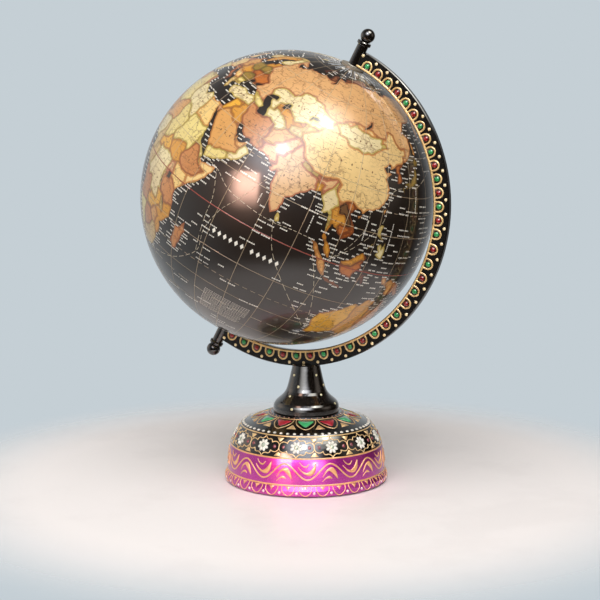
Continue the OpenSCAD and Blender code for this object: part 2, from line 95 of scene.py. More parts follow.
# ---------------------------------------------------------------- coasts and borders by latitude, longitude
LANDS = """
eurasia russia
71 26,70.5 31,69.3 34,68 39,66.7 41,66.2 38,67 33,64.8 35,63.9 37.5,65 37.6,64.7 40.2,66 40.2,66.2 43.5
68.5 43.5,67.6 46.5,68.2 50,68.2 54,69 59,69.8 60.6,68.5 64.5,69.6 67,71.2 66.7,73.1 69.3,72.6 72.8
70.5 73,68 73.3,66.4 71.5,67.8 75,70.2 74.5,72.4 75,72 79,71 83,73.6 80.8,74.6 86.5,76 93,77.6 104
76.6 111,75.3 113,73.8 107,73.3 114,73.2 122,73.6 127,71.4 130,71.6 137,72.6 141,71.5 150,70.8 160
69.6 162,69.8 170,70 178,68 185,66.2 190,64.4 187,65.6 180,64.5 178,62.4 179.5,61.6 173,60.2 170,59.9 166
59 163.5,57 163,56 162.3,54.6 160.5,51 156.8,54 155.8,57.5 157,59.6 160.5,61 163.5,62.5 164.5,61.6 160.3
59.4 154.8,59.5 150.5,59.2 143,57 139,54.8 135.5,54 138.5,53.2 141,51.5 140.6,48.5 140.2,45 136.5,43 133
42.4 130.6,40.8 129.6,39.4 127.5,37.9 128.7,36 129.5,35.1 129.1,34.4 127,34.5 126.3,36.7 126.3,37.8 126.5
38.3 124.9,39.6 125.2,40 124.2,38.9 121.3,40.6 122,40.9 121,39 117.8,37.9 118.8,37.4 119.2,37.8 120.7
37.3 122.5,36.1 120.4,34.9 119.2,33 120.8,31.8 121.8,30.5 121,29.8 122,28 121.3,25.8 119.6,24 118
22.8 115.5,22.3 113.9,21.6 111.8,20.3 110.4,21.4 109.6,21.6 108,20.6 106.7,19 105.7,17.5 106.6,15.6 108.5
12.6 109.4,11.2 108.6,10.3 107,8.7 104.9,10.3 104.6,10.8 103.4,12.4 102.2,12.7 101,13.5 100.6,13.3 100
11.5 99.6,9.3 99.2,8.4 100.1,6.8 101,6.2 102.2,4.5 103.4,2.8 103.6,1.4 104.2,1.4 103.5,2.5 101.8,4 100.6
6.4 100.2,8.2 98.3,10.5 98.5,13.5 98.2,16 97.6,16.8 96.6,15.9 95.3,16.1 94.3,18.2 94.4,20 93,21.5 92
22.6 91.4,22 89.5,21.6 87.6,20.6 86.8,19.3 84.9,17.5 83,16 81.6,15.3 80.2,13.2 80.3,10.3 79.8,9.3 79
8.1 77.5,10 76.2,12.5 74.9,15.5 73.8,18.5 72.9,21 72.8,22.2 72.4,20.8 70.9,22.2 69.1,22.9 70.2,23.7 68.3
24.8 66.9,25.4 64.5,25.2 61.5,25.5 59,25.8 57.2,27.1 56.6,26.6 54.4,27.8 51.4,29.8 50.2,30.3 48.9,29.4 48
27.7 48.8,26.4 50.1,25 50.4,25.9 51.2,24.6 51.6,24.1 53,24.6 54.7,26.1 56.3,24.2 56.7,23.6 58.6,22.5 59.8
20.5 58.4,18.9 57.6,17 55.2,16.6 53,15.4 51.4,14.1 48.8,12.9 45.2,12.7 43.5,14.8 42.9,17 42.3,20 40.4
22 39.1,24.4 37.4,27 35.7,28 34.8,29.4 35,28 34.3,29.9 32.6,31.2 32.4,31.2 34.2,33 35,35 35.8,36.7 36.2
36.2 33.5,36.8 31,36.2 29.5,37 27.5,38.6 26.6,39.6 26.3,40.4 27.5,40.8 29.3,41.2 31.2,42 33.6,41.4 36.2
41 39.5,41.7 41.6,43.4 40,44.7 37.6,45.4 36.8,46.3 38,47.2 39,46.8 37,46 35,45.2 36.4,44.5 34,45.4 32.7
46 33.4,46.6 31.6,46 30.6,45 29.6,43.4 28.5,42.2 27.8,41.2 28.8,41 27.4,40.6 26,40.9 24.3,40.2 23.5
40.4 22.8,39 23.2,37.9 24,36.5 22.9,37 21.7,38.4 21,39.8 20,41.5 19.5,42.6 18.2,43.6 16,45.2 14.4
45.7 13.6,45.2 12.4,43.9 13,42 14.8,41.8 16.1,40.1 18.4,40.4 17,38.9 17,37.9 15.8,40 15.7,41.2 13.2
42.5 11.2,44 10.1,44.3 8.6,43.3 6.6,43.4 4.2,42.4 3.1,41.2 2,39.6 -.3,38.7 .1,37.6 -.9,36.7 -3,36.1 -5.5
37.1 -7,37 -8.9,38.8 -9.4,41.2 -8.7,43.2 -9.2,43.5 -6,43.4 -1.8,45.5 -1.2,47.2 -2.4,48.3 -4.7,48.7 -1.8
49.6 -1.6,49.6 .2,50.9 1.7,51.8 3.8,53.3 5.4,53.6 8,55.6 8.2,57.6 10.5,56.2 10.6,54.4 10.3,54 12.5,54.3 16
54.5 19,55.8 21,57.5 21.8,57.3 24.2,59.2 23.6,59.5 27.8,60.2 28.6,60 23,61.5 21.5,63.3 22,65.2 25
65.8 23.5,63.8 20.4,62 17.4,60.4 17.4,58.8 17,56.2 16,55.4 13.4,57.8 11.8,59.2 10.8,58.1 7.6,59.2 5.4
61.8 5,64 9.8,66.5 13,68.4 15.6,70.2 20
africa sand
31.2 32.4,29.9 32.5,27.6 33.7,24 35.5,22 36.9,18.8 37.5,15.6 39.5,14 41.8,12.4 43.3,11.4 43.2,10.5 44.6
11.2 47.5,11.8 51.2,10.4 51.1,8 49.9,5 48.2,2 45.4,-1 42.1,-2.6 40.4,-4.8 39.2,-7 39.4,-10.5 40.4,-15 40.7
-17.6 38,-19.8 34.8,-22 35.5,-24.4 35.2,-26 32.9,-28.7 32.2,-31.5 29.7,-33.8 26.5,-34.4 22,-34.8 20
-33.9 18.4,-31 17.8,-28.6 16.4,-23 14.4,-18 11.8,-15.8 11.8,-12.5 13.6,-9 13,-6 12.3,-3.5 10.8,-.8 8.9
1.5 9.5,3.9 9.6,4.6 8.5,4.4 6.2,6.3 4,6.2 1.5,4.8 -2,5.2 -4.5,4.4 -7.6,7 -11.5,9.5 -13.5,12.3 -16.7
14.7 -17.4,17.5 -16.1,21 -17,24 -15.8,27.8 -12.9,30.5 -9.7,33.2 -8.4,35.8 -6,35.2 -3,36.9 3,37.3 9.8
36.6 11,34.2 10.1,33.2 11.5,32.3 15,30.4 18.5,31 20,32.8 21.6,31.6 25.2,31 29,31.5 31
madagascar clay
-12 49.3,-15.6 50.4,-20 48.8,-25 47,-25.5 45.2,-23.3 43.6,-20 44.4,-16.2 44.4,-15.4 47
ceylon cream
9.7 80.1,8.4 81.3,6.8 81.8,6 80.6,7.6 79.8
sumatra tan
5.6 95.4,5.2 97.5,2.6 99.8,.4 103,-1.8 104.4,-5.6 105.8,-5.6 104.6,-2.6 101.4,.6 99,3.2 97
java rust
-6.3 105.3,-6.1 107,-6.6 110.8,-7.6 113.5,-8.6 114.5,-8.2 111,-7.6 108
borneo rust
7 116.9,5.2 119.2,2.3 118,.8 118.8,-1.2 116.8,-3.9 116.2,-3.2 112,-1 109.9,1.9 109.3,2.8 111.4,4.8 114.2
celebes maroon
1.6 125,.5 123.6,.5 120.6,-1 120.4,-.8 123,-2 121.9,-4.2 122.8,-5.5 122.4,-3.2 121,-5.5 120.2,-3.4 119.3
-.8 119.7,.8 120
new_guinea tan
-.8 131.2,-.9 134,-3.2 135.3,-1.7 137.8,-3 142,-4.6 145.5,-6.8 147.5,-10.5 150.6,-9.8 147.2,-7.8 144.5
-9.1 142.6,-8.2 138.2,-5.5 138,-4 133.3,-2.7 132.2
luzon cream
18.5 120.8,18.4 122.2,15.5 121.6,14 122.5,12.8 124.1,13.7 121.6,14.3 120.5,16.2 119.9
mindanao cream
12.5 125.3,9.5 126.1,6.4 126.2,5.8 125.2,7.2 122.2,8.6 123.3,9.3 122.5,11 122,11.6 123.2,10 124.3
palawan cream
11.2 119.6,9 118,8.4 117.2,10 118.4
formosa peach
25.2 121.6,22 120.8,23.6 120.2
hainan ochre
20 110.6,18.3 109.5,19.2 108.8
kyushu olive
33.8 131,31.2 131,32.6 129.8
honshu olive
34.2 131,35.6 133.5,35.6 136,37.3 137,38.6 139.5,41.3 140.3,41.4 141.4,39 142,35.7 140.7,34.8 138.5
33.6 135.8,34.3 133.5
shikoku olive
34.2 134.4,33 133,33.6 132.2
hokkaido olive
41.5 140.4,43.3 140.5,45.4 141.8,43.9 145.1,42.8 144,42 143.2,42.4 141.2
sakhalin peach
54.3 142.6,49.2 144,46 143.4,46.8 142,51.5 142
australia honey
-10.9 142.5,-14.4 144.2,-16.8 145.8,-19.3 147.2,-22.3 150.2,-25 153,-28.5 153.5,-33 151.7,-37.4 149.9
-38.9 146.4,-38 144.5,-38.3 141,-35.6 138.4,-33.2 137.8,-34.8 135.6,-32 133.2,-31.5 130.5,-32.4 126.4
-33.9 123.5,-34.1 120,-35 117.8,-34.2 115.1,-31.8 115.7,-28.2 114.2,-25.5 113.5,-21.9 114.1,-20.4 117.2
-18 122.2,-16.4 123.6,-14 126.8,-15 129.3,-12.3 130.8,-11.4 132.6,-12.2 136.8,-15 135.6,-17.6 140.2
-15 141.6
tasmania honey
-40.8 144.8,-40.9 148.2,-43.5 146.8
north_island olive
-34.5 172.8,-37.6 176.5,-37.7 178.4,-41.5 175.4,-39.3 173.9,-37 174.7
south_island olive
-40.6 172.8,-41.7 174.2,-44 172.8,-46.6 169,-46 166.6,-43.5 169.8
britain peach
58.6 -4,57.6 -2,55.8 -2,54.5 -.8,52.8 1.6,51.2 1.3,50.6 -2,50 -5.4,51.5 -3.2,51.8 -5,53.2 -4.2,54.8 -3.4
55.6 -5.4,58.5 -5
ireland olive
55.2 -7,54.4 -5.7,52.3 -6.4,51.6 -9.6,54.2 -9.9
iceland cream
66.3 -16,65 -13.7,63.5 -18.5,63.9 -22.5,65.6 -24.2,65.5 -21
novaya maroon
70.7 57,71.6 51.8,73.5 54.5,76.3 61,76.9 68,75.4 62,73 57
spitsbergen cream
80 16,80 23,78.5 21,76.8 16.5,78.6 12
severnaya maroon
81 95,79.5 103,78.2 101,79 94
new_siberia tan
75.8 139,75.4 150,74.8 142
greenland cream
60 -43.6,61.2 -48.3,64 -51.8,67 -53.6,69.3 -51,70.6 -54.5,73.5 -56,76 -66,78 -72,80 -66,81.6 -62,83 -45
83.6 -33,82 -16,79.5 -19,76.8 -19.5,73.5 -21.5,70.3 -22.5,68.4 -30,66 -36.5,64 -40.6
north_america tan
71.3 -156.7,70.1 -145,69.6 -139,70 -128,68 -115,67.8 -108,68.4 -97,71.8 -94.5,69.2 -88,69 -82.5,66.4 -86
64 -88,61.5 -94,58.8 -94.5,57 -91,55.2 -83,52.8 -81.8,51.3 -79.6,54.6 -79.3,58.6 -77.8,62.4 -77.5,61 -70
58.8 -67.8,60.3 -64.5,56.5 -61.5,53.6 -56.2,51.6 -56.6,50.2 -61,50.2 -66,48.6 -69,49.2 -65,47.2 -64.8
45.8 -61.4,43.6 -65.8,44.8 -67,43 -70.6,41.7 -70.1,40.7 -73.6,38.8 -75.1,37 -76.2,35.3 -75.6,33.8 -78
31.5 -81.2,28.4 -80.6,25.4 -80.4,26.5 -82,29.8 -83.8,30.3 -88,29.2 -90,29.6 -94,28 -97,25.8 -97.3
22.3 -97.8,19.2 -96.2,18.3 -94.2,18.7 -91.6,21.2 -90.3,21.4 -87.1,18.6 -88,15.9 -88.6,15.9 -84.6
14.9 -83.3,11 -83.8,9 -81.6,9.5 -79.4,8.2 -76.8,7.4 -80.3,8.3 -82.9,10 -85.8,13 -87.6,13.8 -91.5,16.2 -95
15.8 -97,18 -103,20.5 -105.5,23.4 -106.6,28 -110.8,31.4 -113.4,31.6 -114.8,28 -112.6,23 -109.7,24.8 -112.2
28 -115,32 -116.9,34.5 -120.5,38 -122.9,40.4 -124.3,46.2 -124,48.4 -124.6,49.2 -123.2,52.3 -128
55.4 -130.6,58.4 -135.5,59.8 -140,60.2 -146,59.4 -151.5,57.6 -156.5,55 -163,57.5 -157.8,58.8 -162
60.6 -165.2,63 -164.4,64.5 -161.2,64.6 -166.2,66.2 -167.6,66.5 -162.2,68.4 -166.4,70.4 -161.2
baffin tan
62 -66.5,65 -64,67 -62.2,69 -67,71.5 -73,73.6 -81,73.4 -88,71 -89,69.8 -84,70 -79,66.2 -73,64.4 -78,63 -70
victoria cream
68.8 -105,71 -105,73 -107,72.6 -115,69.4 -116.5
banks tan
71.4 -123,74.4 -121,73.4 -116
ellesmere olive
76.4 -84,78 -76,81 -65,83 -70,82.4 -86,80.2 -92,78.2 -88
newfoundland cream
51.5 -55.6,49.6 -54,47 -53,47.6 -59.2
cuba rust
22.9 -82.5,22.4 -79,20.2 -74.2,20 -77.4,22 -81.5,21.9 -84.8
hispaniola tan
19.9 -73.2,19.6 -70,18.4 -68.4,18.2 -74
south_america sand
8.6 -77.2,11 -75,12.3 -71.8,11 -71.5,11.5 -69.8,10.4 -66,10.6 -62,8.4 -60,6 -57,5.8 -54,4.2 -51.6,.2 -50.2
-1 -46.8,-2.8 -41.6,-5.2 -36,-8 -34.8,-13 -38.6,-18 -39.6,-22.8 -42,-25 -48,-28.5 -48.8,-32.2 -52.2
-34.8 -54.8,-34.2 -58.4,-36.6 -56.8,-38.8 -59,-39.2 -62,-41 -65,-42.6 -63.8,-45.6 -67.2,-47.6 -65.8
-50.5 -69,-52.4 -68.4,-54.8 -65.6,-55.3 -69.5,-52 -74.4,-46.6 -75.2,-42 -74,-37 -73.4,-30 -71.4
-23.5 -70.4,-18.3 -70.4,-15.6 -75,-12 -77.1,-6 -81.1,-3.4 -80.2,-1 -80.8,1.4 -79,4 -77.4,7 -77.8
antarctica cream
-63.4 -57,-66 -61.5,-70 -61.5,-74 -62,-77.6 -50,-77.6 -35,-73.4 -20,-70.4 -8,-69.6 15,-68.4 35,-67 50
-68.6 73,-66.4 90,-66.6 110,-66.4 130,-67.6 145,-70.6 165,-73 170.4,-77.6 165,-78.2 180,-78 200,-75.4 220
-74 245,-73 260,-73.4 285,-69.6 291.6,-66.4 294.6,-64.6 298
"""

COUNTRIES = """
eurasia norway sand
71.5 26,70.5 31.5,69.2 29,68.4 24,69 20,66 15,63 12,59 11.5,57.5 9,57.5 4,62 3,68 11
eurasia sweden honey
69 20,68 23.5,65.8 24.2,64 22,60 19.5,57 19,55 15,55 12,59 11.5,63 12,66 15
eurasia finland cream
69 20,68.4 24,69.9 28,68 29.5,65 29.7,62.5 31.4,60.5 28,59.8 27,59.8 22,63 20,65.8 24.2,68 23.5
eurasia baltic honey
59.8 23,59.8 28,57 27.7,55.7 27,54.4 25.7,54.4 22.8,55.3 20,58 20.5
eurasia poland olive
54.9 14,55.3 19.5,54.4 22.8,52 23.7,50.5 24,49.3 22.5,49.3 19,50.8 15
eurasia belarus olive
55.7 27,54.4 30.8,53 32.6,51.4 31,51.5 24,52 23.7,54.4 22.8
eurasia ukraine rust
51.5 24,51.4 31,52.3 33.5,50.2 38,49.2 40,47 38.5,46 37,44 35,44.5 32,45.3 29.5,46.4 30.1,48.3 27.5
48 24.5,49.3 22.6,50.6 24
eurasia romania olive
48.3 27.5,46.4 30.1,43.4 29,43.7 23,44.8 21.4,46.2 20.3,48 22.8,48 24.6
eurasia bulgaria lemon
43.7 22.7,43.6 29,41.8 28.6,41.2 23
eurasia balkans peach
46.5 13.5,46.4 16.5,45.8 19,44.8 21.4,42.5 22.5,42 19.2,42 17,45 13
eurasia greece sand
42 19.2,42.4 22.5,41.2 23,41.9 26.5,40 27,38.5 25.5,36 24,36 21,39.5 19
eurasia austria honey
48.9 14,50.8 14.5,50.2 17.5,49.3 19,49 22.5,48 22.8,46.2 20.3,45.8 18.8,46.5 13.5,47 10
eurasia germany tan
55 8,54.9 14,50.8 15,50.2 12.2,48.7 13.8,47.5 12.8,47.5 7.5,49 8,49.4 6.2,51 6,53.5 6.5
eurasia france peach
51.2 2.5,49.4 6.2,49 8.2,46 6.5,44 7.6,43 7.5,42.4 3,43.2 -2,46 -3,48.5 -6,50.5 0
eurasia iberia lemon
44.2 -10,43.4 -1.8,42.4 3.4,40 3,36.2 -1,35.9 -6,36.8 -10
eurasia portugal rust
42 -9.5,42 -7,37 -7.3,36.8 -9.6
eurasia italy rust
46.2 7,47 11,46.5 13.6,45 12.8,42 16,40 19,37.5 16.5,40 13,43.5 9,43.8 7.6
eurasia turkey cream
41.4 26.2,42.4 28,42.8 34,41.7 39,41.4 42.5,39.8 44.6,37.2 44.6,37.1 42.3,36.7 37,35.9 36.2,35.4 33
35.6 28,38.5 25.6
eurasia caucasus lemon
43.6 40,42.6 45,41.5 50,39.6 50.2,38.6 48.6,39 46,39.8 44.6,41.3 42.6,41.5 41
eurasia syria gold
36.8 36,37.1 42.3,34.5 41.2,32.3 38.8,31.5 37,29.3 35.2,31 34,35 35.4
eurasia iraq honey
37.1 42.3,37.2 44.8,35 46,33 46,31.2 47.8,29.8 48.6,29.1 46.6,29.2 44.7,32 39.2,33.4 38.8,34.5 41.2
eurasia saudi tan
29.3 34.8,31.5 37,32.2 39,29.2 44.7,29.1 46.6,28.4 49,26.5 50.6,24.6 51.2,22.8 52.6,22.6 55,20 55,19 52
18.4 48,17.2 46,17.4 43.5,16.4 42.5,20 39,28 34
eurasia emirates peach
26.4 50.6,26.6 56.2,24.8 56.6,22.6 55.3,22.8 52.6,24.6 51
eurasia yemen lemon
16.4 42.3,17.4 43.5,17.2 46,18.4 48,19 52,16.4 53.2,13 51,12.2 45,12.3 43
eurasia oman cream
19 52,20 55,22.6 55.3,24.8 56.2,24.6 58,23 60.5,20 59.5,16.5 56,16.4 53.1
eurasia iran clay
39.4 44.4,38.8 48.8,36.5 50.5,36.6 54,38 57.2,36.6 61.1,34.3 60.8,31.4 61.7,29.6 60.9,27.2 62.8,24.8 61.6
25 57.5,26.6 56.2,26 53,29.6 49.4,31 47.8,33 46,35 46,37.2 44.8
eurasia turkmenistan cream
41.5 52.6,42.5 56.5,41.3 60.2,37.4 66.5,35.3 63.5,35.6 61.3,36.6 61.1,38 57.2,37 53.9,39.5 52.5
eurasia afghanistan tan
35.6 61.3,35.3 63.5,37.4 66.5,37 71.5,36.9 74.6,34.8 71.2,33.3 69.8,31.8 69.2,31 66.5,29.8 66.2,29.6 60.9
31.4 61.7
eurasia pakistan rose
24.8 61.6,27.2 62.8,29.6 60.9,29.8 66.2,31 66.5,31.8 69.2,33.3 69.8,34.8 71.2,36.9 74.6,35.5 77,32.5 75
31 74.5,28 72,27.8 70,24.4 71,24 68,23.4 67
eurasia uzbekistan honey
45.2 56,45.6 59,43.6 64.6,41.3 68,42.2 70.2,41 73,40.2 70.6,39.6 67.8,37.3 68.2,37.4 66.5,41.3 60.2
42.5 56.5,41.2 55.8
eurasia kyrgyz sand
43.2 73.8,42.3 80.3,40.4 76.4,39.4 73.8,37.2 75,36.9 71.5,37.3 68.2,39.6 67.8,40.2 70.6,41 73
eurasia kazakhstan cream
48.4 46.5,50.2 47.6,51.6 50.6,51.6 54.5,50.7 58.6,52.4 61,54.2 61.5,55.4 69,54.2 71.2,53.6 76.4,51 80
49.3 87,47 85.4,47 82.6,45.2 82.2,43 80.5,42.8 75,43.2 73.6,42.2 70.4,41.3 68,43.6 64.6,45.6 58.8,45.2 56
41.4 55.6,42 52,45 49.8
eurasia china ochre
49.2 87.2,47 85.4,47 82.6,45.2 82.2,42.3 80.3,40.4 76.4,39.4 73.8,37.2 75,35.5 77.4,32.6 79,30.4 81.2
28.2 85.5,27.9 89,28.4 93,28.9 96.4,27.6 98.4,24.2 97.7,22 99.4,21.3 101.4,22.6 103.4,23 105.8,21.6 107.6
19.5 108,20 112,23.5 119.5,28 123,32.5 124,37 123.8,39.2 123.4,40.4 124.6,41.6 127,42.2 130.6,44.9 131.2
45.2 133,48.4 134.8,47.7 131,49.5 127.5,52.8 125.8,53.5 121.5,52 120.5,50 119,49.8 116.6
eurasia mongolia cream
49.2 87.6,50.8 92.6,50 95,52.1 98.8,50.4 102.3,50.3 107,49.4 110,50 114.4,49.8 116.6,47.8 115.6,47.8 118.6
46.8 119.8,46.2 116.4,44.8 113.6,43.6 111.6,42.4 109.4,41.6 105,42.6 101.6,42.8 96.4,44.9 94.6,45.2 90.8
47.8 89
eurasia india rose
35.5 77.2,32.6 79,30.4 81.2,28.8 80.4,27.4 84,26.5 88,28 88.8,26.9 89.4,26.9 92,28.9 96.6,27.4 97
24.4 94.2,22 93,23.6 91.5,25.1 92,25.2 89.9,24 88.8,21 89,16 86,9 80.2,6.5 77.5,12 73,19 70.5,22.5 67.2
24.4 71,27.8 70,28 72,31 74.5,32.5 75
eurasia nepal sand
30.2 81,28.8 80.4,27.3 84,26.5 88,28 88.2,28.2 85.5
eurasia bengal gold
25.2 89.9,25.1 92,23.6 91.6,20.8 92.4,21 89,24 88.8,26.3 88.8
eurasia myanmar cream
28.2 97.4,24.2 97.7,22 99.4,20.4 100.2,18 97.8,16.4 98.6,14 99,10 98.8,10.5 97,15.5 94.4,20.5 91.8,22 92.8
24.4 94.4,27.4 96.6
eurasia thailand honey
20.4 100.2,19.4 101.2,17.6 101.2,18.2 103.8,16 104.9,14.3 105.4,13.8 102.6,11.6 103,9 101.6,6.4 102
5.8 101.2,6.6 100,8 97.6,10 98.8,14 99,16.4 98.6,18 97.8
eurasia indochina rust
22.6 102.4,23.2 105.4,21.6 108.2,18 107.5,12 110.4,8 106,8 104,11.6 102.6,13.8 102.6,14.3 105.4,16 104.9
18.2 103.8,17.6 101.2,19.4 101.2,21.3 101.2
eurasia cambodia rust
14.3 105.4,14.4 103,13.6 102.4,11.4 103,10.4 104.4,11.8 106,12.4 107.5,14.4 107.4
eurasia malaya honey
6.7 100,6.4 102.4,3 104,1 104.8,1 103,5 99.8
eurasia korea rust
42.2 130.6,41.6 127,40.4 124.6,39.4 124,34 125.6,34.4 130,39 129,41 130.6
africa morocco honey
36 -6,35.2 -2.2,32 -1.2,30 -5,27.8 -8.7,27.6 -13.6,33 -9.6
africa mauritania rose
27.6 -13.6,27.4 -8.7,25 -6,16 -5.4,15.2 -12,16.6 -17.4,21 -18
africa algeria lemon
35.4 -2.2,37.4 8.6,34 7.8,30.2 9.4,26 9.6,23.4 12,19.2 4,25 -5.2,27.4 -8.7,30 -5,32 -1.2
africa tunisia clay
37.6 8.6,37.6 11.4,33.2 11.6,30.2 9.5,34 7.8
africa libya cream
33.3 11.5,32.4 15,30 19,33.2 21.6,31.6 25.1,22 25,19.6 24,23.4 15,23.4 12,26 9.6,30.2 9.5
africa egypt peach
31.9 25.1,31.9 33,29.4 34.6,22 37.2,22 25
africa mali honey
25 -6,25 -5.2,19.2 4,15.2 3.8,14.8 0,10.4 -4.6,12 -11.4,15.2 -12,16 -5.4
africa niger tan
23.4 12,23.4 15,17 15.5,13.6 13.4,13 5,12 3,13.4 .4,15.2 3.8,19.2 4
africa guinea peach
16.4 -17.6,15.2 -12,12 -11.4,10.4 -4.6,11 0,6 2.7,3.8 1,3.8 -9,9 -14.5,13 -18
africa nigeria cream
13 5,13.6 13.4,9 12.8,6.5 10,4 8.6,3.6 4,6.3 2.7,12 3
africa cameroon sand
13.6 13.4,10 15.4,7.4 15.5,4 15,1 13,-4.4 11,-1 8,4 8.6,6.5 10,9 12.8
africa chad lemon
23.4 15,19.6 24,15.6 24,12 22,11 22.8,8.6 20,7.4 15.5,10 15.4,13.6 13.4,17 15.5
africa sudan lemon
22 25,22 37.2,18 39,15 36.6,12.6 36.2,9.6 34.2,9.6 24,12 22,15.6 24,19.6 24
africa central gold
11 22.8,8.6 24.2,5.2 27.4,4.2 22,3.6 18.6,2.2 16,4 15,7.4 15.5,8.6 20
africa south_sudan honey
12 33,9.6 34.2,8 33.4,4.6 35.9,3.6 31,5.2 27.4,8.6 24.2,9.6 24.2
africa eritrea cream
18.2 38.6,14.5 42.6,12.4 43.6,11.2 42.4,14.4 40,14.4 37,17 36.9
africa ethiopia clay
14.6 37,14.4 40,11.2 42.2,9 44,8 47.8,4.8 45,3.8 41.6,3.6 39.6,4.6 35.9,8 33.4,9.6 34.2,12.6 36.2
africa somalia ochre
11.2 42.6,12 45,12.4 52,6 51,-2.4 42.6,-1.6 41.2,3.8 41.6,4.8 45,8 47.8,9 44
africa kenya peach
4.6 34,4.6 35.9,3.6 39.6,3.8 41.6,-1.6 41.2,-3 41,-5 39.6,-3 37.6,-1 34,1.2 34.4
africa uganda rose
3.8 30.8,4.4 33.4,1.2 34.4,-1 34,-1.2 30,1.2 30.2
africa tanzania clay
-1 30.8,-1 34,-3 37.6,-4.8 39.6,-7 40.4,-10.6 41,-11.6 35,-9.4 33,-8.4 30.6,-4.4 29.4
africa congo sand
4.2 15,3.6 18.6,0 17.6,-4 15.8,-5 12,-3.4 10,0 9,1 13
africa zaire cream
5.2 19,5.2 27.4,3.8 30.8,1.2 30.2,-1.2 29.4,-4.4 29.4,-8.4 30.6,-8.6 28.8,-12.2 29.6,-13.2 28.6,-11.2 22.4
-7.2 21.6,-7.2 19.4,-8 17.4,-6 16.6,-6 12,-4.8 13,-4.2 15.6,0 17.6,3.6 18.6
africa angola clay
-6 11.8,-6 16.6,-8 17.4,-7.2 19.4,-7.2 21.6,-11.2 22.4,-13 24,-13 22,-17.6 21.4,-17.4 11
africa zambia gold
-8.4 30.6,-9.4 33,-13.8 33,-15.8 30.3,-18 27,-17.6 23,-13 22,-13 24,-11.2 24,-13.2 28.6,-12.2 29.6
-8.6 28.8
africa mozambique honey
-10.6 41,-11.6 35,-14 35.6,-16 35,-13.8 33,-15.8 30.3,-18.4 33,-22.4 31.3,-26.8 32.1,-26.9 34,-20 36
-15 41.4
africa zimbabwe tan
-15.8 30.3,-18.4 33,-22.4 31.3,-22.2 29.2,-20 27.4,-18 25.2,-18 27
africa botswana clay
-18 25.2,-20 27.4,-22.2 29.2,-25.6 25.8,-26.9 21,-22 20,-18.2 21
africa namibia lemon
-17.4 11,-17.6 23.4,-18.2 21,-22 20,-28.4 20,-28.8 15,-22 13
africa south_africa sand
-22.2 29.2,-22.4 31.3,-26.8 32.1,-27 34,-32 31,-35.6 25,-35.6 17,-28.8 15,-28.4 20,-24.8 20,-26.9 21
-25.6 25.8
new_guinea papua clay
-2.4 141,-4 147,-11 152,-10.5 147,-9.4 141
borneo sarawak honey
7.4 117,4.2 119,4.2 117.2,1 114,1 110,2 108.6,5 112.5
australia west gold
-13 129,-26 129,-33 129,-36 118,-35 113.5,-22 112.5,-15 123
australia queensland clay
-10 142,-16.6 138,-26 138,-26 141,-29 141,-28.6 149,-28 154,-20 150
australia victoria sand
-34 141,-36 146.5,-37.4 150.8,-40 147,-39 140
north_america alaska sand
72 -157,70.4 -141,60.3 -141,58.6 -137,56 -130,54 -132,58 -152,53 -164,62 -170,68 -169
north_america states cream
49 -126,49 -95.2,48 -89,46.4 -84.4,42.4 -82.6,42.8 -79,45 -74.8,45.2 -71,47.2 -69,44.6 -66.6,41 -69,35 -74
26 -79,24.4 -82,29 -86,28.6 -95,25.8 -96.6,29.4 -101,29 -103.2,31.8 -106.5,31.3 -111,32.6 -114.8,32.4 -118
40 -126
north_america great_west gold
49 -126,49 -111,45 -111,42 -111,37 -109,32 -109,31.3 -111,32.6 -114.8,32.4 -118,40 -126
north_america plains honey
49 -104,49 -97,43.4 -96.4,40 -95.2,36.6 -94.6,33.6 -94,28.6 -95,25.8 -96.6,29.4 -101,32 -103,37 -103
41 -104
north_america mexico rust
32.6 -117.6,32.5 -114.8,31.3 -111,31.8 -106.5,29 -103.2,29.4 -101,25.8 -96.6,22 -97,18 -94,22 -91,22 -86
17.8 -88.4,16 -91,14.4 -92.4,15 -98,20 -107,23 -112
north_america guatemala lemon
18 -89.4,16 -88,14.8 -82.6,10.8 -83,8 -83.4,9.4 -86.6,13 -92,16 -91
north_america quebec peach
51.5 -79.5,62.8 -78,61 -64,52 -64,52 -56,50 -60,48 -66,45.2 -71,45.4 -75,47 -79.4
north_america ontario honey
56.8 -89,52.8 -81,51 -79.6,47 -79.4,45.4 -75,43 -79,42 -83,48 -89,49 -95.2,53 -95
north_america prairie ochre
60 -102,60 -110,49 -111,49 -101.4
north_america columbia olive
60 -139,60 -124,54 -120,49 -114,49 -124,54 -133
greenland ice lemon
80 -60,82 -34,79 -24,72 -27,66 -40,62 -46,68 -48,75 -57
south_america colombia honey
12.6 -72,11 -73,7 -72.2,6 -67.6,1.2 -67,-4.2 -70,0 -75.4,1 -79.6,7.4 -78.4,9 -76
south_america venezuela rust
12.6 -72,11 -73,7 -72.2,6 -67.6,1.2 -67,4 -63,5 -60.6,8.6 -60,11 -61
south_america guiana clay
8.6 -60,5 -60.6,1.4 -59,2.4 -54,4.4 -51,7 -57
south_america ecuador lemon
1.4 -79.6,0 -75.4,-4.8 -79,-3.4 -81,-1 -82
south_america peru tan
0 -75.4,-4.2 -70,-10 -71,-11 -69,-17.4 -69.4,-18.4 -71,-14 -77,-5 -82,-3.4 -80.4,-4.8 -79
south_america bolivia rose
-10 -66.4,-13.6 -61,-16.2 -60,-19.6 -58,-22.2 -62.6,-22.2 -67.6,-17.6 -69.4,-11 -69
south_america brazil ochre
-4.2 -70,1.2 -67,4 -63,5 -60.6,1.4 -59,2.4 -54,4.4 -51,0 -46,-6 -33,-24 -40,-34 -52,-30.4 -57.4
-25.6 -54.6,-22.2 -57.8,-19.6 -58,-16.2 -60,-13.6 -61,-10 -66.4,-11 -69,-10 -71
south_america paraguay rust
-19.6 -62,-19.6 -58,-22.2 -57.8,-25.6 -54.6,-27.4 -56,-27.2 -58.6,-22.2 -62.6
south_america uruguay clay
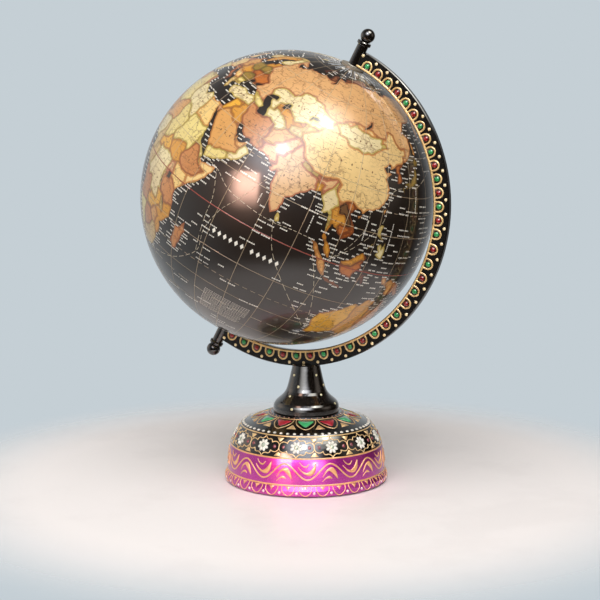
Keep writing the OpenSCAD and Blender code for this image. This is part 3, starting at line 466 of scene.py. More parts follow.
-30.2 -57.6,-33.6 -53,-36 -54,-34 -58.8
south_america argentina peach
-22.2 -67.6,-22.2 -62.6,-27.2 -58.6,-27.4 -55,-30.2 -57.6,-34 -58.8,-37 -56,-42 -62,-50 -64,-55.6 -64
-55.4 -68.6,-52 -70,-50.6 -73.4,-43 -71.8,-36 -70.4,-32 -70.2,-27 -68.6
south_america chile rust
-18 -71,-18.4 -69.6,-22.2 -67.8,-27 -68.6,-32 -70.2,-36 -70.4,-43 -71.8,-50.6 -73.4,-52 -70,-55.4 -68.6
-56.4 -68,-54 -77,-36 -75,-20 -72
antarctica shelf lemon
-72 -60,-78 -40,-74 0,-74 60,-71 100,-72 140,-80 170,-82 210,-78 250,-76 290
eurasia laos umber
20.5 100.5,22.3 102.2,21.5 103.6,20 104.7,18 105.6,16.5 106.9,14.6 107.5,14.2 105.5,16 104.8,18 103.5
17.8 101.3
eurasia taimyr maroon
78 96,77 106,74.5 113,73.2 104,73.6 92,72 84,72 78,74.5 80,76.5 88
eurasia yamal maroon
73.4 70,71.5 74,68.5 73.5,68 67.5,69.5 60,71 66
"""

LAKES = """
caspian
47 51.5,46.5 49,44.5 47,42.5 47.8,41 49,40.3 50.2,39 49.2,37.4 49.6,36.8 51.5,36.9 54,39 53.8,40 53
41 52.8,42 52.7,43.3 51.3,44.6 50.4,45.3 51.3,45.2 53,46.7 53
aral
46.6 59.5,46.6 61.5,45 61.6,43.6 59.6,43.7 58.2,45.2 58.3
baikal
55.7 109.8,53.6 109.2,51.9 106,51.4 104.2,51.9 104.4,53 106.6,54.4 108.6,55.6 109
balkhash
46.9 74.2,46.9 78.9,46.4 79,46.2 75.2,45 74,45.6 73.6
victoria
.4 32,.2 34.2,-2.4 33.8,-2.6 31.8
tanganyika
-3.4 29.2,-5.6 29.9,-8.7 31.2,-8.2 30.6,-5.4 29.2
malawi
-9.6 34,-12 34.9,-14.3 35.2,-12 34.1
"""

# Outer profile of the base from the foot to the crown, and of the stem above it, as radius and height in mm.
WALL_D = 110.4
SHOULDER_D = 90.0
SHOULDER_H = 40.4
FOOT_H = 7.6
WALL_CURVE = 2.65
CROWN_D = 49.0
BASE_H = 48.0
BASE_LOWER_LINE = 8.2
BASE_UPPER_LINE = 26.0
CROWN_LINE = 39.5
ARM_OFFSET = 4.9
ARM_CENTRE = GLOBE_CENTRE / MM + GLOBE_TURN.to_3x3() @ Vector((ARM_OFFSET, 0.0, 0.0))
ARM_INNER = 103.3
ARM_OUTER = 114.6
ARM_FACE = 2.2
# The turn about the upright axis that faces the camera; ornament is counted from it.
CAMERA_SIDE = -65.0


def linked(name, data):
    """A new object in the scene."""
    obj = bpy.data.objects.new(name, data)
    bpy.context.scene.collection.objects.link(obj)
    return obj


def mirrored(path):
    """A path that ends on the middle line, carried on by its mirror image."""
    return path + [(-x, y) for x, y in path[-2::-1]]


def wall_radius(z):
    """Radius of the base's wall at a height."""
    drop = (WALL_D - SHOULDER_D) / 2
    return WALL_D / 2 - drop * max(0.0, (z - FOOT_H) / (SHOULDER_H - FOOT_H)) ** WALL_CURVE


def bezier(a, b, c, d, count):
    """Points along one Bezier piece, without its last point."""
    return [
        tuple((1 - t) ** 3 * p + 3 * (1 - t) ** 2 * t * q + 3 * (1 - t) * t * t * r + t ** 3 * s
              for p, q, r, s in zip(a, b, c, d))
        for t in (k / count for k in range(count))
    ]


BASE_PROFILE = (
    [(55.8, 0.6), (56.8, 1.6), (56.8, 4.6), (56.3, 5.6), (55.2, FOOT_H)]
    + [(wall_radius(FOOT_H + k * 1.64), FOOT_H + k * 1.64) for k in range(1, 21)]
    + [(CROWN_D / 2, BASE_H)]
)
STEM_PROFILE = [
    (r, BASE_H + z)
    for r, z in [(23.0, 0.0)]
    + bezier((23, 3.2), (23, 9.35), (15.8, 9.35), (13.4, 17), 14)
    + bezier((13.4, 17), (11.9, 22), (11.3, 25.4), (9.6, 32.7), 10)
    + [(9.6, 32.7), (9.6, 33.4)]
]
ARM_PROFILE = [(ARM_OUTER, ARM_FACE), (ARM_INNER, ARM_FACE)]


def along(profile, height):
    """Distance along a profile, in mm, at which it reaches this height."""
    gone = 0.0
    for (ra, za), (rb, zb) in zip(profile, profile[1:]):
        step = math.hypot(rb - ra, zb - za)
        if za <= height <= zb and zb > za:
            return gone + step * (height - za) / (zb - za)
        gone += step
    raise ValueError("the profile never reaches this height")


# ---------------------------------------------------------------- node trees written as Python
def sum_of(operation, swapped=False):
    """A Python operator that adds a Math node."""
    def operator(self, other):
        return self.sum_node(operation, *((other, self) if swapped else (self, other)))

    return operator


class Wire:
    """One output of a node, which takes part in Python sums."""

    __add__ = sum_of("ADD")
    __radd__ = sum_of("ADD", True)
    __sub__ = sum_of("SUBTRACT")
    __rsub__ = sum_of("SUBTRACT", True)
    __mul__ = sum_of("MULTIPLY")
    __truediv__ = sum_of("DIVIDE")

    def __init__(self, tree, socket):
        self.tree = tree
        self.socket = socket

    def other(self, name):
        """Another output of the same node."""
        return Wire(self.tree, self.socket.node.outputs[name])

    def sum_node(self, operation, *values):
        """A Math node on these values."""
        return Bench(self.tree).node("ShaderNodeMath", {"operation": operation}, dict(enumerate(values)))

    def sine(self):
        """The sine of this value."""
        return self.sum_node("SINE", self)

    def cosine(self):
        """The cosine of this value."""
        return self.sum_node("COSINE", self)


class Bench:
    """A node tree while it is filled."""

    def __init__(self, tree):
        self.tree = tree

    def node(self, kind, settings=None, inputs=None, out=0):
        """Adds a node: its settings come first, then the values or links of its sockets."""
        made = self.tree.nodes.new(kind)
        for key, value in (settings or {}).items():
            setattr(made, key, value)
        for key, value in (inputs or {}).items():
            if isinstance(value, Wire):
                self.tree.links.new(value.socket, made.inputs[key])
            else:
                made.inputs[key].default_value = value
        return Wire(self.tree, made.outputs[out])

    def mix(self, factor, first, second, blend="MIX"):
        """Two colours mixed."""
        return self.node(
            "ShaderNodeMix",
            {"data_type": "RGBA", "blend_type": blend},
            {0: factor, 6: first, 7: second},
            out=2,
        )

    def vector(self, operation, *values, out=0):
        """A Vector Math node."""
        return self.node("ShaderNodeVectorMath", {"operation": operation}, dict(enumerate(values)), out)

    def scaled(self, vector, number):
        """A vector times a number."""
        return self.node("ShaderNodeVectorMath", {"operation": "SCALE"}, {0: vector, "Scale": number})

    def between(self, value, low, high):
        """0 below low, 1 above high and a soft step from one to the other."""
        return self.node(
            "ShaderNodeMapRange",
            {"interpolation_type": "SMOOTHSTEP"},
            {"Value": value, "From Min": low, "From Max": high},
        )

    def place(self):
        """The point on the piece, in metres."""
        return self.node("ShaderNodeTexCoord", out="Object")

    def noise(self, scale, detail=2.0, at=None, rough=0.5):
        """A soft noise from 0 to 1."""
        settings = {"Scale": scale, "Detail": detail, "Roughness": rough, "Vector": at or self.place()}
        return self.node("ShaderNodeTexNoise", inputs=settings, out="Fac")

    def named(self, name, kind):
        """An attribute inside geometry nodes."""
        return self.node("GeometryNodeInputNamedAttribute", {"data_type": kind}, {"Name": name})

    def attribute(self, name, out="Fac"):
        """A value kept on the mesh."""
        return self.node("ShaderNodeAttribute", {"attribute_name": name}, out=out)


class Finish(Bench):
    """A material with one Principled shader."""

    def __init__(self, name, **sockets):
        self.material = bpy.data.materials.new(name)
        self.material.use_nodes = True
        super().__init__(self.material.node_tree)
        self.tree.nodes.clear()
        self.shader = self.tree.nodes.new("ShaderNodeBsdfPrincipled")
        end = self.tree.nodes.new("ShaderNodeOutputMaterial")
        self.tree.links.new(self.shader.outputs["BSDF"], end.inputs["Surface"])
        self.set(**sockets)

    def set(self, **sockets):
        """Sets or links sockets of the shader; an underscore in a name stands for a space."""
        for key, value in sockets.items():
            socket = self.shader.inputs[key.replace("_", " ")]
            if isinstance(value, Wire):
                self.tree.links.new(value.socket, socket)
            else:
                socket.default_value = value

    def bump(self, height, strength, depth):
        """Relief from a height between 0 and 1; depth is in metres."""
        inputs = {"Strength": strength, "Distance": depth, "Height": height}
        return self.node("ShaderNodeBump", inputs=inputs, out="Normal")


# ---------------------------------------------------------------- settings
class DeskGlobeMapSettings(bpy.types.PropertyGroup):
    """Sizes and inks of the printed map."""

    skin_radius: length_of("Print radius", MAP_OUTER - 0.07 * MM, "Radius of the printed paper's face")
    skin_thickness: length_of("Paper thickness", 0.22 * MM, "Thickness of the printed paper")
    pole_hole: length_of("Pole hole radius", 8.4 * MM, "Radius of the hole under each pole flange")
    rim_width: length_of("Border tint width", 1.9 * MM, "Width of the darker tint along coasts and borders")
    line_width: length_of("Grid line width", 0.34 * MM, "Width of the printed grid lines")
    sea: colour_of("Sea", "1f1711", "Ink of the sea")
    sea_line: colour_of("Grid on the sea", "a89274", "Ink of the grid over the sea")
    land_line: colour_of("Grid on the land", "b9a27c", "Ink of the grid over land")
    equator: colour_of("Equator", "973b28", "Ink of the equator")
    label: colour_of("Label strokes", "fbf6ea", "Ink of the pale label strokes")


class DeskGlobeStandSettings(bpy.types.PropertyGroup):
    """Paints of the stand."""

    black: colour_of("Black lacquer", "0d0b0a", "Colour of the black lacquer")
    candy: colour_of("Candy lacquer", "c630a4", "Colour of the clear tinted lacquer on the wall of the base")
    gold: colour_of("Gold relief", "eac889", "Colour of the gold relief paint")
    green: colour_of("Green enamel", "2a9a54", "Colour of the green enamel beads and leaves")
    red: colour_of("Red enamel", "8e1016", "Colour of the red enamel beads and leaves")
    white: colour_of("White enamel", "f2efe6", "Colour of the white enamel dots and petals")


def power_of(label, watts, light):
    """The power setting of a light."""
    note = "Power of " + light + " in watts"
    return bpy.props.FloatProperty(name=label, description=note, default=watts, min=0.0)


class DeskGlobeStageSettings(bpy.types.PropertyGroup):
    """Floor, lights and camera."""

    floor_radius: length_of("Floor radius", 0.32, "Radius of the round floor")
    lens: bpy.props.FloatProperty(
        name="Lens", description="Focal length in millimetres", default=88.52, min=20.0
    )
    near_tone: colour_of("Floor", "f5f0ee", "Floor colour")
    far_tone: colour_of("Backdrop", "c5cfd5", "Backdrop colour behind the floor")
    room_dark: colour_of("Room, near side", "261e18", "What the gloss mirrors on the camera's side")
    room_light: colour_of("Room, far side", "b6babc", "What the gloss mirrors on the far side")
    fill_tone: colour_of("Fill", "a09e9c", "Soft light that comes from all round")
    key_power: power_of("Key light", 80.0, "the key light")
    window_power: power_of("Window light", 120.0, "the large soft light in front")
    warm_power: power_of("Warm light", 80.0, "the warm light")
    sheen_power: power_of("Side lights", 5.0, "each dim side light")
    base_power: power_of("Base light", 44.0, "the light on the base")
    stem_power: power_of("Stem light", 150.0, "the light on the stem")
    arm_power: power_of("Arm light", 10.0, "the low light on the arm's ornament")
    fill_power: power_of("Overhead light", 33.0, "the wide overhead light")
    sky: bpy.props.FloatProperty(
        name="Surroundings", description="Strength of the surroundings", default=1.0, min=0.0
    )


# ---------------------------------------------------------------- finishes
DUSTY = paint("8d8478")
WARM_BLACK = paint("1d1712")


def black_lacquer(name, colour, gloss=0.06, ripple=0.00009):
    """Deep gloss black over turned and filed work: faint orange peel and fine dust."""
    f = Finish(name, Coat_Weight=1.0, Coat_Roughness=0.03, Coat_IOR=1.55, IOR=1.5)
    at = f.place()
    cloud = f.noise(55.0, 4.0, at)
    dust = f.between(f.noise(2600.0, 2.0, at), 0.70, 0.78)
    tone = f.mix(cloud * 0.55, colour, WARM_BLACK)
    peel = f.noise(620.0, 2.0, at)
    wave = f.noise(95.0, 2.0, at)
    normal = f.bump(peel * 0.6 + wave * 2.2, 0.32, ripple)
    f.set(
        Base_Color=f.mix(dust * 0.35, tone, DUSTY),
        Roughness=gloss + cloud * 0.10 + dust * 0.3,
        Normal=normal,
    )
    return f.material


def base_lacquer(look, band_top):
    """Candy lacquer over bright metal up to the upper gold line, and black above it."""
    f = Finish("base_candy_and_black", Coat_Weight=1.0, Coat_Roughness=0.09, Coat_IOR=1.5)
    at = f.place()
    height = f.node("ShaderNodeSeparateXYZ", inputs={0: at}, out="Z")
    above = f.between(height, band_top - 0.15 * MM, band_top + 0.15 * MM)
    flake = f.noise(2400.0, 1.0, at)
    cloud = f.noise(38.0, 3.0, at)
    deep = f.mix(cloud, look.candy, paint("9a2084"))
    candy = f.mix(f.between(flake, 0.56, 0.72) * 0.5, deep, paint("f07fc4"))
    dust = f.between(f.noise(2200.0, 2.0, at), 0.70, 0.78)
    black = f.mix(dust * 0.35, f.mix(cloud * 0.5, look.black, WARM_BLACK), DUSTY)
    peel = f.noise(560.0, 2.0, at)
    normal = f.bump(peel * 0.7 + f.noise(80.0, 2.0, at) * 2.0, 0.30, 0.00009)
    f.set(
        Base_Color=f.mix(above, candy, black),
        Metallic=(1 - above) * 0.82,
        Roughness=0.30 - above * 0.20 + flake * 0.08,
        Normal=normal,
    )
    return f.material


def enamel(name, colour, dark, metal, gloss):
    """Thick hand-laid enamel or relief paint: tone drifts a little and the skin is softly uneven."""
    f = Finish(name, Coat_Weight=1.0, Coat_Roughness=0.05, Metallic=metal)
    at = f.place()
    drift = f.noise(190.0, 3.0, at)
    speck = f.noise(900.0, 2.0, at)
    f.set(
        Base_Color=f.mix(f.between(drift, 0.3, 0.75) * 0.55, colour, dark),
        Roughness=gloss + speck * 0.16,
        Normal=f.bump(speck, 0.25, 0.00006),
    )
    return f.material


def bright_steel(name):
    """Zinc-bright steel with fine drawn lines."""
    f = Finish(name, Metallic=1.0)
    at = f.place()
    drawn = f.node("ShaderNodeMapping", inputs={"Vector": at, "Scale": (1.0, 1.0, 9.0)})
    lines = f.noise(2600.0, 3.0, drawn)
    f.set(
        Base_Color=f.mix(lines, paint("b9bab8"), paint("8c8d8a")),
        Roughness=0.22 + lines * 0.2,
        Normal=f.bump(lines, 0.12, 0.00003),
    )
    return f.material


def moulded_plastic(name, colour, dark, shine):
    """Moulded plastic with a fine even grain and light scuffs."""
    f = Finish(name, IOR=1.46)
    at = f.place()
    grain = f.noise(1500.0, 3.0, at)
    scuff = f.between(f.noise(160.0, 4.0, at), 0.45, 0.7)
    f.set(
        Base_Color=f.mix(scuff * 0.45 + grain * 0.2, colour, dark),
        Roughness=shine + grain * 0.12 + scuff * 0.1,
        Normal=f.bump(grain, 0.2, 0.00005),
    )
    return f.material


def felt_cloth(name):
    """Pressed black felt with matted fibres."""
    f = Finish(name, Roughness=0.95)
    at = f.place()
    mat = f.noise(1900.0, 5.0, at, 0.7)
    f.set(
        Base_Color=f.mix(mat, paint("0c0c0c"), paint("2e2d2c")),
        Normal=f.bump(mat, 0.7, 0.0003),
    )
    return f.material


def fibre_board(name):
    """Primed board under the base."""
    f = Finish(name)
    at = f.place()
    fibre = f.noise(700.0, 5.0, f.node("ShaderNodeMapping", inputs={"Vector": at, "Scale": (1.0, 5.0, 1.0)}))
    f.set(
        Base_Color=f.mix(fibre, paint("1b1a19"), paint("343230")),
        Roughness=0.62 + fibre * 0.2,
        Normal=f.bump(fibre, 0.3, 0.0001),
    )
    return f.material


def dress(node, material):
    """Gives a CAD node's slots this finish."""
    for slot in frame["nodes"][node].material_slots:
        slot.material = material


# ---------------------------------------------------------------- floor, lights and camera
CAMERA_PLACE = (0.4287, -0.9205, 0.2653)
CAMERA_TILT = 82.2
CAMERA_TURN = 25.22
SENSOR_WIDTH = 36.0
FLOOR_SIDES = 96


def floor_finish(look):
    """Pale satin table top that fades into the plain backdrop."""
    f = Finish("floor_top", Specular_IOR_Level=0.25)
    at = f.place()
    away = f.vector("LENGTH", at, out="Value")
    grain = f.noise(420.0, 3.0, at)
    vein = f.between(f.noise(9.0, 6.0, at, 0.65), 0.48, 0.62)
    f.set(
        Base_Color=f.mix(vein * 0.10 + grain * 0.04, look.near_tone, paint("c9c2c0")),
        Roughness=0.34 + grain * 0.1,
        Alpha=1 - f.between(away, 0.185, 0.30),
        Normal=f.bump(grain, 0.04, 0.0001),
    )
    return f.material


def soft_light(name, azimuth, elevation, distance, size, power, tint, shape, seen):
    """A light that faces the globe from a direction in degrees; its shape says how its face is lit."""
    data = bpy.data.lights.new(name, "AREA")
    data.shape = "RECTANGLE"
    data.size, data.size_y = size
    data.energy = power
    data.color = tint[:3]
    if shape != "plain":
        data.use_nodes = True
        bench = Bench(data.node_tree)
        spot = bench.node("ShaderNodeNewGeometry", out="Parametric")
        if shape in ("spot", "glow"):
            off = bench.vector("LENGTH", bench.vector("SUBTRACT", spot, (0.5, 0.5, 0.0)), out="Value")
            strength = (1 - bench.between(off, 0.0, 0.5)) * 1.1
            if shape == "spot":
                strength = strength + (1 - bench.between(off * size[0], 0.015, 0.17)) * 4.0
        else:
            across = bench.node("ShaderNodeSeparateXYZ", inputs={0: spot})
            sides = bench.between(across, 0.0, 0.5) * (1 - bench.between(across, 0.86, 1.0))
            strength = sides * bench.between(across.other("Y"), 0.0, 0.7) * 1.5
        glow = data.node_tree.nodes["Emission"]
        data.node_tree.links.new(strength.socket, glow.inputs["Strength"])
    obj = linked(name, data)
    a = math.radians(azimuth)
    e = math.radians(elevation)
    away = Vector((math.sin(a) * math.cos(e), -math.cos(a) * math.cos(e), math.sin(e)))
    obj.location = GLOBE_CENTRE + away * distance
    obj.rotation_euler = away.to_track_quat("Z", "Y").to_euler()
    obj.visible_glossy = seen != "matt"
    obj.visible_diffuse = seen != "gloss"
    return obj


def light_only(light, starts, state):
    """Keeps a light to the pieces with these first letters, or away from them."""
    group = bpy.data.collections.new(light.name + "_pieces")
    pieces = set(frame["nodes"].values()) | {o for o in bpy.data.objects if o.type == "MESH"}
    for piece in sorted(pieces, key=lambda o: o.name):
        if piece.name.startswith(starts):
            group.objects.link(piece)
    light.light_linking.receiver_collection = group
    for member in group.collection_objects:
        member.light_linking.link_state = state


def surroundings(look):
    """A plain pale backdrop to the eye, and a dimmer room with a bright far side for the gloss."""
    world = bpy.data.worlds.new("surroundings")
    world.use_nodes = True
    bench = Bench(world.node_tree)
    way = bench.node("ShaderNodeTexCoord", out="Generated")
    toward = bench.vector("DOT_PRODUCT", way, (-0.92, 0.38, 0.0), out="Value")
    height = bench.node("ShaderNodeSeparateXYZ", inputs={0: way}, out="Z")
    lit = bench.between(toward, -0.25, 0.7) * (1 - bench.between(height, 0.35, 0.8) * 0.7)
    room = bench.mix(lit, look.room_dark, look.room_light)
    seen = bench.node("ShaderNodeLightPath", out="Is Camera Ray")
    soft = bench.mix(seen.other("Is Diffuse Ray"), room, look.fill_tone)
    ground = world.node_tree.nodes["Background"]
    world.node_tree.links.new(bench.mix(seen, soft, look.far_tone).socket, ground.inputs["Color"])
    ground.inputs["Strength"].default_value = look.sky
    return world


class DESKGLOBE_OT_stage(bpy.types.Operator):
    """Sets the floor, the lights and the camera"""

    bl_idname = "deskglobe.stage"
    bl_label = "Floor, lights and camera"

    def execute(self, context):
        look = context.scene.deskglobe_stage
        data = bpy.data.cameras.new("main_camera")
        data.lens = look.lens
        data.sensor_width = SENSOR_WIDTH
        data.clip_end = 20.0
        camera = linked("main_camera", data)
        camera.location = CAMERA_PLACE
        camera.rotation_euler = (math.radians(CAMERA_TILT), 0.0, math.radians(CAMERA_TURN))
        context.scene.camera = camera
        mesh = bpy.data.meshes.new("floor")
        turns = [2 * math.pi * k / FLOOR_SIDES for k in range(FLOOR_SIDES)]
        rim = [(look.floor_radius * math.cos(t), look.floor_radius * math.sin(t), 0.0) for t in turns]
        mesh.from_pydata(rim, [], [list(range(FLOOR_SIDES))])
        floor = linked("floor", mesh)
        mesh.materials.append(floor_finish(look))
        for name, azimuth, elevation, distance, size, power, tint, shape, seen, *only in (
            ("key_light", 74, 56, 1.6, (1.6, 1.6), look.key_power, "fffaee", "spot", "gloss"),
            ("window_light", 21, 40, 1.6, (2.2, 2.2), look.window_power, "f4f6ff", "spot", "gloss"),
            ("right_sheen", 102, 14, 1.6, (1.7, 1.7), look.sheen_power, "ffeede", "glow", "gloss"),
            ("left_sheen", -84, 14, 1.6, (1.7, 1.7), look.sheen_power, "ffdcb8", "glow", "gloss"),
            ("base_light", 38, 5, 1.8, (1.4, 1.6), look.base_power, "fff0fa", "spot", "gloss",
             ("base_",), "INCLUDE"),
            ("stem_light", 6, 34, 1.6, (2.4, 4.4), look.stem_power, "f6f4f2", "spot", "gloss",
             ("stem",), "INCLUDE"),
            ("arm_light", 25, -6, 1.8, (1.2, 1.2), look.arm_power, "fff6e6", "plain", "matt",
             ("arm_",), "INCLUDE"),
            ("warm_light", -8, 8, 2.2, (1.06, 1.12), look.warm_power, "f6c3ac", "pane", "gloss",
             ("meridian_arm", "arm_", "upper_", "lower_", "stem"), "EXCLUDE"),
            ("overhead_light", 14, 50, 1.5, (1.8, 1.8), look.fill_power, "fffdfb", "plain", "matt"),
        ):
            light = soft_light(name, azimuth, elevation, distance, size, power, paint(tint), shape, seen)
            if only:
                light_only(light, *only)
        context.scene.world = surroundings(look)
        context.scene.view_settings.view_transform = "Standard"
        return {"FINISHED"}


# ---------------------------------------------------------------- the printed map
MAP_SPIN = -149.93
# The print is paper seen through three inks: the share of red, green and blue light that each lets through.
PAPER = (0.90, 0.78, 0.50)
INKS = ((0.95, 0.75, 0.05), (0.60, 0.12, 0.10), (0.10, 0.10, 0.10))
# Each tint: tenths of yellow, red and black ink, and the colour of its border.
TINTS = {
    "russia": ((1.5, 2.5, 0.5), "a5623a"),
    "sand": ((1.5, 1, 1), "a98a3c"),
    "lemon": ((2, 0, 0.5), "a98f34"),
    "clay": ((2.5, 4.5, 1), "8f4c26"),
    "tan": ((3, 3, 0.5), "a4642a"),
    "rust": ((6, 6.5, 1), "6f3414"),
    "orange": ((6, 6, 1.5), "8a4210"),
    "maroon": ((1.5, 8, 5), "4c2018"),
    "cream": ((0.5, 0, 0.5), "b39a3e"),
    "peach": ((2, 1, 0), "c27f38"),
    "ochre": ((1.5, 1, 0), "c07a38"),
    "olive": ((5.5, 1, 4.5), "6a5c20"),
    "honey": ((7, 3, 0.5), "a86a1e"),
    "gold": ((8, 2, 0), "a4661a"),
    "rose": ((1, 2, 0.5), "a8583a"),
    "umber": ((1, 6, 11), "281610"),
}


def printed(amounts):
    """Paper under these tenths of each ink, as red, green and blue light."""
    colour = np.array(PAPER)
    for ink, tenths in zip(INKS, amounts):
        colour = colour * np.array(ink) ** (tenths / 10)
    return tuple(float(c) for c in colour)


def unit(lat, lon):
    """A point on a globe of radius 1, in the globe's own frame with its axis up."""
    a = math.radians(lat)
    b = math.radians(lon + MAP_SPIN)
    return np.array((math.cos(a) * math.cos(b), math.cos(a) * math.sin(b), math.sin(a)))


def read_outlines(text):
    """Outlines, each a line of words and then lines of latitude and longitude pairs."""
    rows = []
    for line in text.strip().splitlines():
        if line[0].isalpha():
            rows.append((line.split(), []))
        else:
            pairs = line.strip(",").split(",")
            rows[-1][1].extend(tuple(float(v) for v in pair.split()) for pair in pairs)
    return rows


def ragged(first, second, span):
    """Points from first up to second, pushed aside a little so that a coast wanders as a real one does."""
    gap = second - first
    size = float(np.linalg.norm(gap))
    if size < span:
        return [first]
    middle = first + second
    swap = -1.0 if tuple(first) > tuple(second) else 1.0
    aside = np.cross(middle, gap) * swap
    length = float(np.linalg.norm(aside)) or 1.0
    wave = math.sin(float(np.dot(middle, (12.99, 78.23, 37.72)))) * 43758.5
    push = (wave - math.floor(wave) - 0.5) * 0.26 * size
    middle = middle / 2 + aside / length * push
    middle = middle / np.linalg.norm(middle)
    return ragged(first, middle, span) + ragged(middle, second, span)


def coast_points(pairs, span=0.022):
    """A closed outline on the unit globe, with points close enough to look drawn."""
    corners = [unit(lat, lon) for lat, lon in pairs]
    points = []
    for here, there in zip(corners, corners[1:] + corners[:1]):
        points += ragged(here, there, span)
    return np.array(points)


def to_plane(points, side):
    """Looks at the globe from one pole: side is 1 for the north and -1 for the south."""
    return points[:, :2] / (1.0 + side * points[:, 2:3] + 1e-9)


def from_plane(plane, side):
    """The way back from to_plane."""
    square = (plane ** 2).sum(1)[:, None]
    return np.hstack((2 * plane, side * (1 - square))) / (1 + square)


def within(plane, outline):
    """Which points of the plane lie inside the closed outline."""
    inside = np.zeros(len(plane), bool)
    low = outline.min(0)
    high = outline.max(0)
    near = np.where(((plane >= low) & (plane <= high)).all(1))[0]
    if len(near) == 0:
        return inside
    px = plane[near, 0]
    py = plane[near, 1]
    hit = np.zeros(len(near), bool)
    ends = np.roll(outline, -1, 0)
    for (ax, ay), (bx, by) in zip(outline, ends):
        if ay == by:
            continue
        crosses = ((ay > py) != (by > py)) & (px < (bx - ax) * (py - ay) / (by - ay) + ax)
        hit ^= crosses
    inside[near] = hit
    return inside


def far_side(outline, side):
    """Whether an outline lies wholly on the other half of the globe."""
    return (side * outline[:, 2]).max() < -0.05


class Atlas:
    """The lands, countries and lakes as outlines, read once."""

    def __init__(self):
        self.lands = [(row[0], row[1], coast_points(pairs)) for row, pairs in read_outlines(LANDS)]
        self.countries = [
            (row[0], row[1], row[2], coast_points(pairs)) for row, pairs in read_outlines(COUNTRIES)
        ]
        self.lakes = [coast_points(pairs) for row, pairs in read_outlines(LAKES)]

    def regions(self, plane, side):
        """For points of the plane: the numbers of the tint and of the region, or -1 at sea."""
        names = list(TINTS)
        land = np.full(len(plane), -1)
        tint = np.full(len(plane), -1)
        area = np.full(len(plane), -1)
        for k, (_, shade, outline) in enumerate(self.lands):
            if far_side(outline, side):
                continue
            inside = within(plane, to_plane(outline, side))
            land[inside] = k
            tint[inside] = names.index(shade)
            area[inside] = k
        keys = {name: k for k, (name, _, _) in enumerate(self.lands)}
        for number, (owner, _, shade, outline) in enumerate(self.countries):
            if far_side(outline, side):
                continue
            inside = within(plane, to_plane(outline, side)) & (land == keys[owner])
            tint[inside] = names.index(shade)
            area[inside] = len(self.lands) + number
        for outline in self.lakes:
            inside = within(plane, to_plane(outline, side))
            tint[inside] = -1
            area[inside] = -1
        return tint, area


BARE_PAPER = (0.75, 0.7, 0.6, 1.0)
EQUATOR_POINTS = 240
POLE_HOLE_POINTS = 48
# Free points stand in rows this many degrees apart, so that the sea is round as well.
FREE_ROW_STEP = 2.4
FREE_ROWS = 37


def ring(radius, count):
    """Points round a circle in the plane, and the edges that join them."""
    turns = np.arange(count) * 2 * math.pi / count
    points = np.stack((np.cos(turns), np.sin(turns)), 1) * radius
    return points, [(k, (k + 1) % count) for k in range(count)]


def fill_plane(points, edges, hole):
    """Triangles between the pole hole and the equator that keep every given edge."""
    verts, _, faces, *_ = delaunay_2d_cdt(
        [Vector(p) for p in points], edges, [], 0, 1e-7, False
    )
    plane = np.array([tuple(v) for v in verts])
    faces = np.array([tuple(face) for face in faces])
    middle = plane[faces].mean(1)
    reach = np.hypot(middle[:, 0], middle[:, 1])
    faces = faces[(reach < 0.99995) & (reach > hole * 1.0001)]
    a, b, c = plane[faces[:, 0]], plane[faces[:, 1]], plane[faces[:, 2]]
    turned = np.cross(b - a, c - a) < 0
    faces[turned] = faces[turned][:, ::-1]
    used = np.unique(faces)
    renumber = np.full(len(plane), -1)
    renumber[used] = np.arange(len(used))
    return plane[used], renumber[faces]


def border_ends(faces):
    """Edges that belong to one triangle only."""
    count = {}
    for face in faces:
        for k in range(3):
            count[(face[k], face[(k + 1) % 3])] = 1
    return [key for key in count if (key[1], key[0]) not in count]


def skin_sheet(atlas, side, look):
    """One half of the map in the plane: points, triangles, and the tint and region of each triangle."""
    hole = math.tan(math.asin(look.pole_hole / look.skin_radius) / 2)
    near = look.rim_width / look.skin_radius
    points = []
    edges = []

    def take(batch, links):
        start = len(points)
        points.extend(tuple(p) for p in batch)
        edges.extend((start + a, start + b) for a, b in links)

    take(*ring(1.0, EQUATOR_POINTS))
    take(*ring(hole, POLE_HOLE_POINTS))
    outlines = [row[-1] for row in atlas.lands] + [row[-1] for row in atlas.countries] + atlas.lakes
    loose = []
    for outline in outlines:
        plane = to_plane(outline, side)
        reach = np.hypot(plane[:, 0], plane[:, 1])
        count = len(plane)
        if reach.min() > 1.08:
            continue
        step = np.roll(plane, -1, 0) - np.roll(plane, 1, 0)
        step /= np.linalg.norm(step, axis=1)[:, None] + 1e-12
        scale = (1 + reach ** 2)[:, None] / 2
        aside = np.stack((-step[:, 1], step[:, 0]), 1) * near * scale
        keep = [k for k in range(count) if reach[k] < 1.25 or reach[(k + 1) % count] < 1.25]
        start = len(points)
        points.extend(tuple(p) for p in plane)
        edges.extend((start + k, start + (k + 1) % count) for k in keep)
        loose.append((plane + aside)[reach < 1.02])
        loose.append((plane - aside)[reach < 1.02])
    rows = []
    for k in range(1, FREE_ROWS + 1):
        lat = 90 - FREE_ROW_STEP * k
        many = max(8, int(150 * math.cos(math.radians(lat))))
        turns = (np.arange(many) + 0.5 * (k % 2)) * 2 * math.pi / many
        rows.append(np.stack((np.cos(turns), np.sin(turns)), 1) * math.tan(math.radians(90 - lat) / 2))
    loose.append(np.concatenate(rows))
    free = np.concatenate(loose)
    reach = np.hypot(free[:, 0], free[:, 1])
    free = free[(reach < 0.992) & (reach > hole * 1.12)]
    points.extend(tuple(p) for p in free)
    plane, faces = fill_plane(points, edges, hole)
    return plane, faces, *atlas.regions(plane[faces].mean(1), side)


